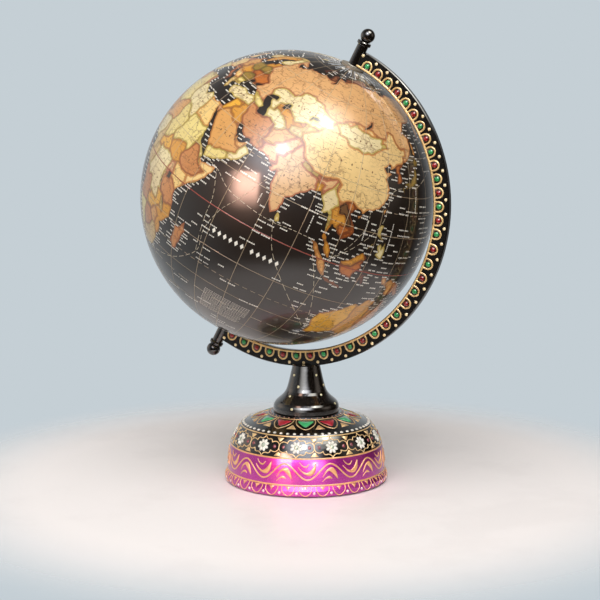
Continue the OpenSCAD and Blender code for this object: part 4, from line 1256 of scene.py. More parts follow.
def nearness(space, faces, area, reach):
    """For each point 1 on a border between regions, falling to 0 at this distance from it."""
    owner = {}
    lines = []
    for number, face in enumerate(faces):
        for k in range(3):
            key = (face[k], face[(k + 1) % 3])
            mate = owner.pop((key[1], key[0]), None)
            if mate is None:
                owner[key] = number
            elif area[mate] != area[number]:
                lines.append(key)
    ends = np.array(lines)
    first = space[ends[:, 0]]
    gap = space[ends[:, 1]] - first
    square = (gap ** 2).sum(1) + 1e-18
    tree = kdtree.KDTree(len(first))
    for k, spot in enumerate(first + gap / 2):
        tree.insert(spot, k)
    tree.balance()
    result = np.zeros(len(space))
    for k, spot in enumerate(space):
        best = reach
        for _, number, _ in tree.find_n(spot, 5):
            along = np.dot(spot - first[number], gap[number]) / square[number]
            foot = first[number] + gap[number] * min(1.0, max(0.0, along))
            best = min(best, float(np.linalg.norm(spot - foot)))
        result[k] = 1 - best / reach
    result[np.unique(ends)] = 1.0
    return result


def map_skin(name, atlas, side, look):
    """One half of the printed map as a thin closed paper shell."""
    plane, faces, tint, area = skin_sheet(atlas, side, look)
    space = from_plane(plane, side)
    edge = nearness(space, faces, area, look.rim_width / look.skin_radius)
    outer = [tuple(p * look.skin_radius) for p in space]
    loop = border_ends(faces)
    ends = sorted({v for key in loop for v in key})
    order = {v: k for k, v in enumerate(ends)}
    ring_points = [tuple(plane[v]) for v in ends]
    ring_edges = [(order[a], order[b]) for a, b in loop]
    hole = math.tan(math.asin(look.pole_hole / look.skin_radius) / 2)
    for k in range(1, 10):
        bow = math.tan(math.radians(9 * k) / 2)
        if hole * 1.1 < bow < 0.98:
            ring_points += [tuple(p) for p in ring(bow, max(12, int(40 * bow)))[0]]
    back, back_faces = fill_plane(ring_points, ring_edges, hole)
    inner_radius = look.skin_radius - look.skin_thickness
    inner = [tuple(p * inner_radius) for p in from_plane(back, side)]
    match = kdtree.KDTree(len(back))
    for k, spot in enumerate(back):
        match.insert((spot[0], spot[1], 0.0), k)
    match.balance()
    shift = len(outer)
    walls = []
    for a, b in loop:
        low_a = shift + match.find((plane[a][0], plane[a][1], 0.0))[1]
        low_b = shift + match.find((plane[b][0], plane[b][1], 0.0))[1]
        walls.append((b, a, low_a, low_b))
    lower = [tuple(int(shift + v) for v in face[::-1]) for face in back_faces]
    upper = [tuple(int(v) for v in face) for face in faces]
    all_faces = upper + lower + [tuple(int(v) for v in wall) for wall in walls]
    if side < 0:
        all_faces = [face[::-1] for face in all_faces]
    mesh = bpy.data.meshes.new(name)
    mesh.from_pydata(outer + inner, [], all_faces)
    rest = len(all_faces) - len(upper)
    shades = [printed(inks) + paint(rim)[:3] for inks, rim in TINTS.values()]
    sea = tuple(look.sea)[:3]
    main_tint = mesh.attributes.new("tint", "FLOAT_COLOR", "CORNER")
    rim_tint = mesh.attributes.new("rim_tint", "FLOAT_COLOR", "CORNER")
    is_land = mesh.attributes.new("is_land", "FLOAT", "FACE")
    near = mesh.attributes.new("border", "FLOAT", "POINT")
    for layer, part in ((main_tint, slice(0, 3)), (rim_tint, slice(3, 6))):
        tones = [(shades[t][part] if t >= 0 else sea) + (1.0,) for t in tint] + [BARE_PAPER] * rest
        corners = [c for face, tone in zip(all_faces, tones) for _ in face for c in tone]
        layer.data.foreach_set("color", corners)
    is_land.data.foreach_set("value", [1.0 if t >= 0 else 0.0 for t in tint] + [0.0] * rest)
    near.data.foreach_set("value", list(edge) + [0.0] * len(inner))
    mesh.polygons.foreach_set("use_smooth", [True] * (len(upper) + len(lower)) + [False] * len(walls))
    inward = from_plane(back, side)
    mesh.normals_split_custom_set_from_vertices([tuple(p) for p in space] + [tuple(-p) for p in inward])
    mesh.transform(GLOBE_PLACE)
    mesh.update()
    return linked(name, mesh)


def map_print():
    """Varnished print: tinted lands with darker borders, fine drawn lines, paper mottling."""
    f = Finish("varnished_map_print", Coat_Weight=1.0, Coat_Roughness=0.085, Coat_IOR=1.45, IOR=1.4)
    at = f.place()
    tint = f.attribute("tint", "Color")
    rim = f.attribute("rim_tint", "Color")
    land = f.attribute("is_land")
    border = f.attribute("border")
    waver = f.noise(420.0, 3.0, at)
    band = f.between(border + (waver - 0.5) * 0.5, 0.30, 0.62)
    thin = f.between(border, 0.86, 0.95)
    wander = f.node("ShaderNodeTexNoise", inputs={"Scale": 260.0, "Detail": 3.0, "Vector": at}, out="Color")
    strayed = f.vector("ADD", at, f.scaled(wander, 0.006))
    base = f.mix(f.between(f.noise(34.0, 4.0, at), 0.35, 0.7) * land * 0.24, tint, paint("b98a52"))
    for scale, width, depth in ((105.0, 0.05, 0.46), (290.0, 0.06, 0.22)):
        drawn = f.node(
            "ShaderNodeTexVoronoi",
            {"feature": "DISTANCE_TO_EDGE"},
            {"Vector": strayed, "Scale": scale},
            out="Distance",
        )
        held = f.between(f.noise(scale * 0.4, 2.0, at), 0.40, 0.52)
        base = f.mix((1 - f.between(drawn, width * 0.3, width)) * held * land * depth, base, paint("74492a"))
    base = f.mix(band * 0.85, base, rim)
    base = f.mix(thin * land * 0.5, base, paint("5a3520"))
    fibre = f.noise(900.0, 4.0, at)
    base = f.mix(fibre * 0.10, base, paint("fff3da"), "MULTIPLY")
    peel = f.noise(330.0, 2.0, at)
    f.set(
        Base_Color=base,
        Roughness=0.30 + fibre * 0.12,
        Normal=f.bump(peel + f.noise(38.0, 2.0, at) * 2.5, 0.14, 0.0001),
    )
    return f.material


class DESKGLOBE_OT_map_skins(bpy.types.Operator):
    """Lays the two printed halves of the map over the shells"""

    bl_idname = "deskglobe.map_skins"
    bl_label = "Map halves"

    def execute(self, context):
        look = context.scene.deskglobe_map
        atlas = Atlas()
        finish = map_print()
        for name, side, node in (("map_skin_north", 1, "map_north"), ("map_skin_south", -1, "map_south")):
            skin = map_skin(name, atlas, side, look)
            skin.data.materials.append(finish)
            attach(skin, "globe")
            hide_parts(node)
        return {"FINISHED"}


class DESKGLOBE_OT_finishes(bpy.types.Operator):
    """Gives every solid of the frame its finish"""

    bl_idname = "deskglobe.finishes"
    bl_label = "Finishes of the solids"

    def execute(self, context):
        look = context.scene.deskglobe_stand
        lacquer = black_lacquer("black_gloss_lacquer", look.black)
        fitting = black_lacquer("black_fitting_lacquer", look.black, 0.12)
        steel = bright_steel("bright_zinc_steel")
        shell = moulded_plastic("shell_plastic", paint("cdb48d"), paint("a98d66"), 0.45)
        dress("meridian_arm", lacquer)
        dress("stem", black_lacquer("black_rippled_lacquer", look.black, 0.05, 0.0003))
        dress("base_dome", base_lacquer(look, BASE_UPPER_LINE * MM))
        for node in ("upper_sleeve", "lower_sleeve", "upper_ball_nut", "lower_ball_nut"):
            dress(node, fitting)
        for node in ("axle_rod", "tie_bolt", "spring_washer", "bolt_washer", "plate_screws"):
            dress(node, steel)
        for node in ("north_shell", "south_shell", "joining_ring", "map_north", "map_south"):
            dress(node, shell)
        for node in ("north_bush", "south_bush"):
            dress(node, moulded_plastic(node + "_plastic", paint("857b6b"), paint("5f574a"), 0.3))
        for node in ("upper_washer", "lower_washer"):
            dress(node, moulded_plastic(node + "_nylon", paint("d9d6cb"), paint("b5b1a2"), 0.4))
        dress("bottom_plate", fibre_board("primed_fibre_board"))
        dress("felt_pad", felt_cloth("pressed_felt"))
        return {"FINISHED"}


# ---------------------------------------------------------------- relief paint laid round a turned surface
class Motif:
    """A small flat drawing in mm: x runs round the piece, y along its profile and z out of it."""

    def __init__(self):
        self.points = []
        self.faces = []

    def add(self, points, faces):
        """Adds points and faces that count from the first of them."""
        start = len(self.points)
        self.points += [tuple(p) for p in points]
        self.faces += [tuple(start + v for v in face) for face in faces]
        return self

    def line(self, path, width, height=0.35, closed=False, ends=True):
        """A rounded ridge of relief paint along a path; width is one number or one for each point."""
        count = len(path)
        wide = width if isinstance(width, (list, tuple)) else [width] * count
        shape = ((-0.5, -0.12), (-0.33, 0.62), (0.0, 1.0), (0.33, 0.62), (0.5, -0.12))
        points = []
        for k, (x, y) in enumerate(path):
            before = path[k - 1] if k or closed else path[0]
            after = path[(k + 1) % count] if k + 1 < count or closed else path[-1]
            dx = after[0] - before[0]
            dy = after[1] - before[1]
            size = math.hypot(dx, dy) or 1.0
            swell = min(1.0, wide[k] / 0.8)
            for off, rise in shape:
                lift = height * rise * swell if rise > 0 else height * rise
                points.append((x - dy / size * off * wide[k], y + dx / size * off * wide[k], lift))
        faces = []
        for k in range(count if closed else count - 1):
            a = 5 * k
            b = 5 * ((k + 1) % count)
            for s in range(5):
                t = (s + 1) % 5
                faces.append((a + s, b + s, b + t, a + t))
        if not closed and ends:
            faces.append(tuple(range(5)))
            faces.append(tuple(range(5 * count - 1, 5 * count - 6, -1)))
        return self.add(points, faces)

    def dome(self, x, y, wide, tall, height, sides, rings, turn=0.0, point=0.0):
        """A laid drop of paint with an oval foot; point draws one end out to a tip."""
        points = []
        c = math.cos(turn)
        s = math.sin(turn)
        for k in range(rings + 1):
            out = math.cos(0.5 * math.pi * k / rings)
            lift = height * math.sin(0.5 * math.pi * k / rings) - (0.04 if k == 0 else 0.0)
            if k == rings:
                points.append((x, y, lift))
                break
            for j in range(sides):
                a = 2 * math.pi * j / sides
                stretch = 1 + point * max(0.0, math.cos(a)) ** 6
                u = wide / 2 * out * math.cos(a) * stretch
                v = tall / 2 * out * math.sin(a)
                points.append((x + u * c - v * s, y + u * s + v * c, lift))
        faces = [tuple(range(sides - 1, -1, -1))]
        for k in range(rings - 1):
            for j in range(sides):
                i = (j + 1) % sides
                faces.append((k * sides + j, k * sides + i, (k + 1) * sides + i, (k + 1) * sides + j))
        top = rings * sides
        faces += [((rings - 1) * sides + j, (rings - 1) * sides + (j + 1) % sides, top) for j in range(sides)]
        return self.add(points, faces)

    def patch(self, outline, height, inset=0.3, crown=0.0):
        """A flat laid patch with a soft edge; crown lifts its middle."""
        count = len(outline)
        cx = sum(p[0] for p in outline) / count
        cy = sum(p[1] for p in outline) / count
        points = [(x, y, -0.04) for x, y in outline]
        for x, y in outline:
            size = math.hypot(cx - x, cy - y) or 1.0
            share = min(0.8, inset / size)
            points.append((x + (cx - x) * share, y + (cy - y) * share, height))
        points.append((cx, cy, height + crown))
        faces = [tuple(range(count - 1, -1, -1))]
        faces += [(k, (k + 1) % count, count + (k + 1) % count, count + k) for k in range(count)]
        faces += [(count + k, count + (k + 1) % count, 2 * count) for k in range(count)]
        return self.add(points, faces)


def drop(wide, tall, height, sides=10, rings=3):
    """A single laid drop of paint."""
    return Motif().dome(0.0, 0.0, wide, tall, height, sides, rings)


def rounded(points, steps=4, closed=False):
    """A soft curve through the points."""
    count = len(points)
    pieces = count if closed else count - 1
    path = []
    for k in range(pieces):
        a = points[(k - 1) % count] if closed or k else points[0]
        b = points[k]
        c = points[(k + 1) % count]
        d = points[(k + 2) % count] if closed or k + 2 < count else points[-1]
        for j in range(steps):
            t = j / steps
            path.append(tuple(
                0.5 * (2 * q + (r - p) * t + (2 * p - 5 * q + 4 * r - s) * t * t
                       + (3 * q - p - 3 * r + s) * t ** 3)
                for p, q, r, s in zip(a, b, c, d)
            ))
    if not closed:
        path.append(tuple(points[-1]))
    return path


def eased(widths, count):
    """Widths spread over this many points."""
    result = []
    for k in range(count):
        at = k / (count - 1) * (len(widths) - 1)
        low = min(int(at), len(widths) - 2)
        result.append(widths[low] + (widths[low + 1] - widths[low]) * (at - low))
    return result


def start_tree(name, **inputs):
    """A new geometry node tree: its inputs' keys, its bench and its input node. Geometry comes in first."""
    tree = bpy.data.node_groups.new(name, "GeometryNodeTree")
    keys = {}
    for label, kind in {"Geometry": "Geometry", **inputs, "Paint": "Material"}.items():
        socket = tree.interface.new_socket(name=label, in_out="INPUT", socket_type="NodeSocket" + kind)
        keys[label] = socket.identifier
    tree.interface.new_socket(name="Result", in_out="OUTPUT", socket_type="NodeSocketGeometry")
    b = Bench(tree)
    return keys, b, b.node("NodeGroupInput")


def end_tree(b, start, shape):
    """Gives the shape its material and sends it out."""
    painted = b.node("GeometryNodeSetMaterial", inputs={"Geometry": shape, "Material": start.other("Paint")})
    b.tree.links.new(painted.socket, b.tree.nodes.new("NodeGroupOutput").inputs[0])


def set_out(b, start, turn):
    """The motif at every incoming point, as real geometry."""
    motif = b.node("GeometryNodeObjectInfo", inputs={"Object": start.other("Motif")}, out="Geometry")
    spread = b.node(
        "GeometryNodeInstanceOnPoints",
        inputs={
            "Points": start,
            "Instance": motif,
            "Rotation": b.node("FunctionNodeEulerToRotation", inputs={0: turn}),
            "Scale": b.named("size", "FLOAT_VECTOR"),
        },
    )
    return b.node("GeometryNodeRealizeInstances", inputs={0: spread})


def wrap_tree():
    """Geometry nodes that set a motif at every place and roll the whole round a turned profile."""
    keys, b, start = start_tree("roll_round_profile", Motif="Object", Profile="Object", Radius="Float")
    real = set_out(b, start, b.node("ShaderNodeCombineXYZ", inputs={2: b.named("turn", "FLOAT")}))
    profile = b.node("GeometryNodeObjectInfo", inputs={"Object": start.other("Profile")}, out="Geometry")
    rail = b.node("GeometryNodeMeshToCurve", inputs={0: profile})
    at = b.node("ShaderNodeSeparateXYZ", inputs={0: b.node("GeometryNodeInputPosition")})
    reach = {"Curves": rail, "Length": at.other("Y")}
    sample = b.node("GeometryNodeSampleCurve", {"mode": "LENGTH"}, reach, out="Position")
    foot = b.node("ShaderNodeSeparateXYZ", inputs={0: sample})
    lean = b.node("ShaderNodeSeparateXYZ", inputs={0: sample.other("Tangent")})
    out = foot + lean.other("Z") * at.other("Z")
    rise = foot.other("Z") - lean * at.other("Z")
    angle = at / start.other("Radius")
    spot = b.node("ShaderNodeCombineXYZ", inputs={0: out * angle.cosine(), 1: out * angle.sine(), 2: rise})
    end_tree(b, start, b.node("GeometryNodeSetPosition", inputs={"Geometry": real, "Position": spot}))
    return b.tree, keys


def helper(name, points, edges=(), faces=()):
    """A scratch object for the node trees, in metres."""
    mesh = bpy.data.meshes.new(name)
    mesh.from_pydata([tuple(c * MM for c in p) for p in points], list(edges), list(faces))
    return linked(name, mesh)


def places_object(places):
    """Points to set a motif on: x, y, turn, scale along x and scale along y."""
    obj = helper("places", [(row[0], row[1], 0.0) for row in places])
    full = [tuple(row) + (0.0, 1.0, 1.0)[len(row) - 2:] for row in places]
    turn = obj.data.attributes.new("turn", "FLOAT", "POINT")
    turn.data.foreach_set("value", [row[2] for row in full])
    size = obj.data.attributes.new("size", "FLOAT_VECTOR", "POINT")
    size.data.foreach_set("vector", [v for row in full for v in (row[3], row[4], 1.0)])
    return obj


def evaluated(obj, tree, keys, values):
    """Runs a node tree on an object and gives the result as a plain mesh; the object goes away."""
    modifier = obj.modifiers.new("nodes", "NODES")
    modifier.node_group = tree
    for name, value in values.items():
        modifier[keys[name]] = value
    obj.update_tag()
    view = bpy.context.evaluated_depsgraph_get()
    view.update()
    mesh = bpy.data.meshes.new_from_object(obj.evaluated_get(view), depsgraph=view)
    bpy.data.objects.remove(obj)
    return mesh


def painted_piece(name, mesh, build, finish, turn=Matrix(), shade=None):
    """Writes a bmesh into the mesh of a new piece, drops the nodes' attributes and gives it its finish."""
    bmesh.ops.recalc_face_normals(build, faces=build.faces)
    build.to_mesh(mesh)
    build.free()
    for layer in ("turn", "size", "rise"):
        if layer in mesh.attributes:
            mesh.attributes.remove(mesh.attributes[layer])
    mesh.transform(turn)
    if shade is not None:
        mesh.polygons.foreach_set("use_smooth", [shade] * len(mesh.polygons))
    mesh.materials.clear()
    mesh.materials.append(finish)
    return linked(name, mesh)


def lay(name, drawings, profile, radius, finish, turn=Matrix(), body="stand", shade=True):
    """Rolls drawings round a profile as one painted piece. Each drawing is a motif and its places."""
    tree, keys = wrap_tree()
    rail = helper("profile", [(r, 0.0, z) for r, z in profile], [(k, k + 1) for k in range(len(profile) - 1)])
    build = bmesh.new()
    for motif, places in drawings:
        shape = helper("motif", motif.points, (), motif.faces)
        values = {"Motif": shape, "Profile": rail, "Radius": radius * MM, "Paint": finish}
        mesh = evaluated(places_object(places), tree, keys, values)
        build.from_mesh(mesh)
        bpy.data.meshes.remove(mesh)
        bpy.data.objects.remove(shape)
    bpy.data.objects.remove(rail)
    bpy.data.node_groups.remove(tree)
    bmesh.ops.remove_doubles(build, verts=build.verts, dist=2e-6)
    obj = painted_piece(name, bpy.data.meshes.new(name), build, finish, turn, shade)
    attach(obj, body)


# ---------------------------------------------------------------- lines and small marks printed on the ball
def chance(*numbers):
    """A fixed number from 0 to 1 for these numbers."""
    wave = math.sin(sum(n * k for n, k in zip(numbers, (12.9898, 78.233, 37.719, 9.131)))) * 43758.5453
    return wave - math.floor(wave)


INK_THICKNESS = 0.02 * MM
# Radius of the printed ball in mm, for the lengths of marks.
BALL_RADIUS = 101.5


def ribbon_tree():
    """Geometry nodes that turn drawn edges on a ball into flat ribbons of ink."""
    keys, b, start = start_tree("ink_ribbon", Width="Float")
    curve = b.node("GeometryNodeMeshToCurve", inputs={0: start})
    upright = b.vector("NORMALIZE", b.node("GeometryNodeInputPosition"))
    held = b.node("GeometryNodeSetCurveNormal", {"mode": "FREE"}, {"Curve": curve, "Normal": upright})
    section = b.node(
        "GeometryNodeCurvePrimitiveQuadrilateral",
        {"mode": "RECTANGLE"},
        {"Width": INK_THICKNESS, "Height": start.other("Width")},
    )
    sweep = {"Curve": held, "Profile Curve": section, "Fill Caps": True}
    ribbon = b.node("GeometryNodeCurveToMesh", inputs=sweep)
    end_tree(b, start, b.node("GeometryNodeRealizeInstances", inputs={0: ribbon}))
    return b.tree, keys


def mark_tree():
    """Geometry nodes that set a flat mark at every place and press it onto the ball."""
    keys, b, start = start_tree("ink_marks", Motif="Object", Radius="Float")
    real = set_out(b, start, b.named("turn", "FLOAT_VECTOR"))
    upright = b.vector("NORMALIZE", b.node("GeometryNodeInputPosition"))
    radius = start.other("Radius") + b.named("rise", "FLOAT") * INK_THICKNESS
    pressed = {"Geometry": real, "Position": b.scaled(upright, radius)}
    end_tree(b, start, b.node("GeometryNodeSetPosition", inputs=pressed))
    return b.tree, keys


def printing_ink(name, colour, dark):
    """Ink under the same varnish as the map, a little uneven."""
    f = Finish(name, Coat_Weight=1.0, Coat_Roughness=0.085, Coat_IOR=1.45, IOR=1.4)
    at = f.place()
    speck = f.noise(1400.0, 2.0, at)
    f.set(
        Base_Color=f.mix(f.between(speck, 0.35, 0.75) * 0.25, colour, dark),
        Roughness=0.32 + speck * 0.12,
        Normal=f.bump(f.noise(330.0, 2.0, at), 0.1, 0.0001),
    )
    return f.material


def finish_print(name, mesh, finish):
    """Puts a print made at the ball's own centre in its place on the globe."""
    mesh.name = name
    mesh.transform(GLOBE_PLACE)
    build = bmesh.new()
    build.from_mesh(mesh)
    obj = painted_piece(name, mesh, build, finish)
    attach(obj, "globe")


def print_lines(name, paths, width, radius, finish):
    """Prints paths given as arrays of unit points."""
    tree, keys = ribbon_tree()
    points = []
    edges = []
    for path in paths:
        start = len(points)
        points += [tuple(p * radius) for p in path]
        edges += [(start + k, start + k + 1) for k in range(len(path) - 1)]
    mesh = bpy.data.meshes.new(name)
    mesh.from_pydata(points, edges, [])
    result = evaluated(linked(name, mesh), tree, keys, {"Width": width, "Paint": finish})
    bpy.data.node_groups.remove(tree)
    finish_print(name, result, finish)


def flat_mark(outlines):
    """Four-cornered flat shapes as one mark; the third number of a point is 0 below and 1 above."""
    points = []
    faces = []
    for outline in outlines:
        start = len(points)
        points += [(x, y, rise) for rise in (0.0, 1.0) for x, y in outline]
        faces += [tuple(range(start + 3, start - 1, -1)), tuple(range(start + 4, start + 8))]
        faces += [(start + k, start + (k + 1) % 4, start + 4 + (k + 1) % 4, start + 4 + k) for k in range(4)]
    return points, faces


def bar_mark(bars):
    """A mark of plain bars: start, end and height of each."""
    return flat_mark([[(a, -h / 2), (b, -h / 2), (b, h / 2), (a, h / 2)] for a, b, h in bars])


BROKEN_BAR = bar_mark((
    (-0.5, -0.4, 1.0), (-0.345, -0.27, 0.7), (-0.215, -0.11, 0.9), (-0.055, 0.02, 0.65),
    (0.075, 0.17, 1.0), (0.225, 0.3, 0.7), (0.355, 0.5, 0.85),
))
TWO_BARS = bar_mark(((-0.5, -0.1, 1.0), (0.0, 0.5, 0.8)))
LOZENGE = flat_mark([[(-0.5, 0.0), (0.0, -0.5), (0.5, 0.0), (0.0, 0.5)]])


def print_marks(name, shape, marks, radius, finish):
    """Prints marks: each is a unit point, the direction of its length, its length and its height in mm."""
    tree, keys = mark_tree()
    points, faces = shape
    mesh = bpy.data.meshes.new("mark")
    mesh.from_pydata([(x, y, 0.0) for x, y, _ in points], [], faces)
    rise = mesh.attributes.new("rise", "FLOAT", "POINT")
    rise.data.foreach_set("value", [p[2] for p in points])
    mark = linked("mark", mesh)
    spots = bpy.data.meshes.new("places")
    spots.from_pydata([tuple(spot * radius) for spot, *_ in marks], [], [])
    turns = []
    sizes = []
    for spot, heading, length, height in marks:
        up = Vector(spot).normalized()
        run = Vector(heading)
        run = (run - up * run.dot(up)).normalized()
        across = up.cross(run)
        turns += list(Matrix((run, across, up)).transposed().to_euler())
        sizes += [length * MM, height * MM, 1.0]
    spots.attributes.new("turn", "FLOAT_VECTOR", "POINT").data.foreach_set("vector", turns)
    spots.attributes.new("size", "FLOAT_VECTOR", "POINT").data.foreach_set("vector", sizes)
    values = {"Motif": mark, "Radius": radius, "Paint": finish}
    result = evaluated(linked("places", spots), tree, keys, values)
    bpy.data.objects.remove(mark)
    bpy.data.node_groups.remove(tree)
    finish_print(name, result, finish)


def east(spot):
    """The direction of east at a unit point."""
    return np.array((-spot[1], spot[0], 0.0)) / (math.hypot(spot[0], spot[1]) + 1e-9)


def steps_between(first, last, step):
    """Even steps from first to last, none longer than about this step."""
    count = max(2, int(abs(last - first) / step))
    return [first + (last - first) * k / count for k in range(count + 1)]


def parallel_path(lat, first, last, step=1.3):
    """Points along a parallel."""
    return [unit(lat, lon) for lon in steps_between(first, last, step)]


def meridian_path(lon, first, last, step=1.3):
    """Points along a meridian."""
    return [unit(lat, lon) for lat in steps_between(first, last, step)]


def on_land(atlas, points):
    """Which unit points lie on land."""
    points = np.array(points)
    result = np.zeros(len(points), bool)
    for side in (1, -1):
        here = points[:, 2] * side >= 0
        if here.any():
            result[here] = atlas.regions(to_plane(points[here], side), side)[0] >= 0
    return result


def shared_out(atlas, paths):
    """Cuts paths where they cross a coast: the runs at sea, then the runs on land."""
    sea = []
    ground = []
    for path in paths:
        flags = on_land(atlas, [(a + b) / 2 for a, b in zip(path, path[1:])])
        start = 0
        for k in range(1, len(flags) + 1):
            if k == len(flags) or flags[k] != flags[start]:
                (ground if flags[start] else sea).append(path[start:k + 1])
                start = k
    return sea, ground


def dashes(path, on, off):
    """Cuts a path into dashes of so many steps on and off."""
    return [path[k:k + on + 1] for k in range(0, len(path) - on, on + off)]


def sea_route(pairs):
    """A smooth route through latitude and longitude pairs, with close points."""
    return [unit(lat, lon) for lat, lon in rounded(pairs, 12)]


GRID_STEP = 15
# Latitude and longitude pairs of each route.
SEA_ROUTES = (
    ((12.5, 45), (12, 52), (8, 60), (6, 72), (5.5, 80), (6, 88), (5.8, 95)),
    ((12, 52), (3, 56), (-5, 56.5), (-20, 57.5)),
    ((18, 71), (8, 66), (0, 61), (-10, 58), (-20, 57.5), (-30, 45), (-34.5, 27)),
    ((5.8, 80), (-5, 85), (-18, 97), (-32, 113)),
    ((5.8, 95), (-6, 102), (-18, 108), (-32, 114)),
    ((1, 104.5), (8, 110), (16, 114), (22, 114)),
    ((1.5, 105), (9, 113), (19, 121), (31, 124), (34, 137)),
    ((-34.5, 18), (-36, 50), (-37, 90), (-38, 120), (-39, 143)),
    ((34, 141), (42, 165), (44, 190), (38, 230)),
    ((21, 202), (28, 220), (37, 236)),
    ((50, -6), (44, -30), (40, -60), (40.5, -73)),
    ((36, -7), (20, -19), (4, -14), (-16, 2), (-33, 16)),
    ((50, -6), (30, -35), (10, -58), (9.5, -79)),
    ((-34, 152), (-20, 175), (0, 200), (7, 279)),
)


class DESKGLOBE_OT_map_lines(bpy.types.Operator):
    """Prints the grid, the equator and the sea routes"""

    bl_idname = "deskglobe.map_lines"
    bl_label = "Grid, equator and sea routes"

    def execute(self, context):
        look = context.scene.deskglobe_map
        atlas = Atlas()
        paths = [parallel_path(lat, 0, 360) for lat in range(-75, 76, GRID_STEP) if lat]
        paths += [meridian_path(lon, 84.9, -84.9) for lon in range(0, 360, GRID_STEP)]
        tropics = [parallel_path(lat, 0, 360, 0.7) for lat in (23.5, -23.5, 66.5, -66.5)]
        sea, ground = shared_out(atlas, paths)
        broken, _ = shared_out(atlas, [piece for path in tropics for piece in dashes(path, 3, 2)])
        radius = look.skin_radius + 0.015 * MM
        print_lines("map_grid_at_sea", sea + broken, look.line_width, radius,
                    printing_ink("grid_ink_at_sea", look.sea_line, paint("6e5d48")))
        print_lines("map_grid_on_land", ground, look.line_width, radius,
                    printing_ink("grid_ink_on_land", look.land_line, paint("96703f")))
        print_lines("map_equator", [parallel_path(0, 0, 360)], 0.6 * MM, radius + 0.01 * MM,
                    printing_ink("equator_ink", look.equator, paint("6f2a1c")))
        routes = [piece for pairs in SEA_ROUTES for piece in dashes(sea_route(pairs), 2, 1)]
        sea, _ = shared_out(atlas, routes)
        print_lines("map_sea_routes", sea, 0.3 * MM, radius + 0.01 * MM,
                    printing_ink("route_ink", paint("cfc0a4"), paint("8a7a62")))
        between = [lon for lon in range(0, 360, GRID_STEP // 3) if lon % GRID_STEP]
        fan = [meridian_path(lon, 85.0, 79.5 - 2.5 * chance(lon, 3.0)) for lon in between]
        print_lines("map_polar_ticks", fan, 0.45 * MM, radius,
                    printing_ink("polar_tick_ink", paint("e4e8ea"), paint("a4a8ac")))
        return {"FINISHED"}


# Island groups and seas that a world map names: latitude, longitude and how many rows of words.
ISLAND_NAMES = """
-4.5 55.5 3, -6 52 1, -10 51 1, -12 44 1, -10.5 56.5 1, -16 54.5 1, -20 57.5 2, -21 55 1, -19.5 63.5 1,
-16.5 59.5 1, -5 71 1, 4 73.5 3, 11 72.5 2, 12.5 54.5 1, 12 93 2, 8 93.5 2, -12 97 2, -10.5 105.5 2, -38
77.5 1, -49 69.5 2, -46.5 51.5 1, -53 73.5 1, -46.5 37.5 1, -54.5 3.5 1, 18 60 2, 15 65 1, 15 86 2, 12
48 1, 7 76 1, 7 82 2, -14 88 1, -20 100 2, -28 105 1, -36 110 2, -25 70 1, -30 80 1, -38 45 1, -42 60 1,
-5 99 2, -8 103 1, 1 97 2, 10 96 1, 16 112 2, 10 113 2, 18 115 1, 5 106 2, -5 110 1, -6 127 2, 3.5 121
1, -11 127 1, -9.5 134 1, 1 126 2, 5 127 3, 18 130 2, 17 123 2, 12 126 2, 8 128 2, 30 125 1, 26 128 2,
25 132 1, 27 142.5 3, 21 144 2, 17 146 3, 13 145 2, 7.5 134.5 2, 10 138 2, 7 150 3, 9 168 3, 1 172 3, -8
178 2, -8 161 2, -14 167 3, -21 166 2, -17 178 2, -19 -174 2, -13 -172 2, -20 -160 2, -17 -149 2, -9
-140 2, -22 -140 1, -25 -130 1, -27 -109 1, 0 -91 2, 21 -157 3, 28 -177 1, 19 166 1, 52 -176 2, 47 154
2, 40 150 1, 35 160 1, 38 -28 2, 32.5 -17 1, 28 -18 2, 16 -25 2, -8 -14 1, -16 -6 1, -37 -12 2, 32 -65
1, 25 -75 2, 16 -61 3, -52 -58 2, -54 -37 1, -57 -27 1, 62 -7 1, 71 -8 1, 75 40 1, 76 65 1
"""
# Island chains that run down the map: longitude, latitudes of the top and the foot.
ISLAND_CHAINS = ((72, 13, 9), (92.5, 14, 7), (127, 20, 9), (140, 34, 25), (114, 19, 11))
# Spaced letters of an ocean's name, as plain lozenges: latitude, first and last longitude, how many.
OCEAN_NAMES = ((-8, 62, 74, 6), (-8, 78, 88, 5), (6, 152, 212, 9), (-16, 170, 230, 8), (28, -58, -28, 7),
               (-22, -28, 4, 7), (82, 60, 160, 6), (-62, 20, 130, 9))
LAND_NAMES = (
    (36, 95, 111, 4), (32.5, 51, 58, 3), (46, 99, 109, 4), (48, 61, 75, 5), (24, 43, 51, 4),
    (22, 76, 86, 4), (62, 92, 132, 5), (-25, 124, 143, 5), (8, 39, 45, 3), (27, 16, 22, 3),
    (39, 33, 40, 4), (-6, 23, 32, 4), (40, -105, -80, 6), (56, -110, -84, 5), (-10, -58, -40, 5),
    (-35, -66, -60, 4), (15, 101, 106, 3),
)


def row_marks(lat, first, last, height):
    """A row of names along a parallel, as one to three strokes with gaps between them."""
    length = math.radians(last - first) * math.cos(math.radians(lat)) * BALL_RADIUS
    parts = max(1, int(length / 6.5 + 0.5))
    marks = []
    for k in range(parts):
        share = (k + 0.5) / parts
        spot = unit(lat, first + (last - first) * share)
        marks.append((spot, east(spot), length / parts * (0.93 - 0.12 * chance(lat, share)), height))
    return marks


def chain_marks():
    """Short strokes down every island chain."""
    marks = []
    for lon, top, foot in ISLAND_CHAINS:
        count = max(2, int((top - foot) / 2.4))
        length = BALL_RADIUS * math.radians((top - foot) / count) * 0.8
        for k in range(count):
            spot = unit(top + (foot - top) * (k + 0.5) / count, lon)
            marks.append((spot, np.array((0.0, 0.0, 1.0)), length, 0.8))
    return marks


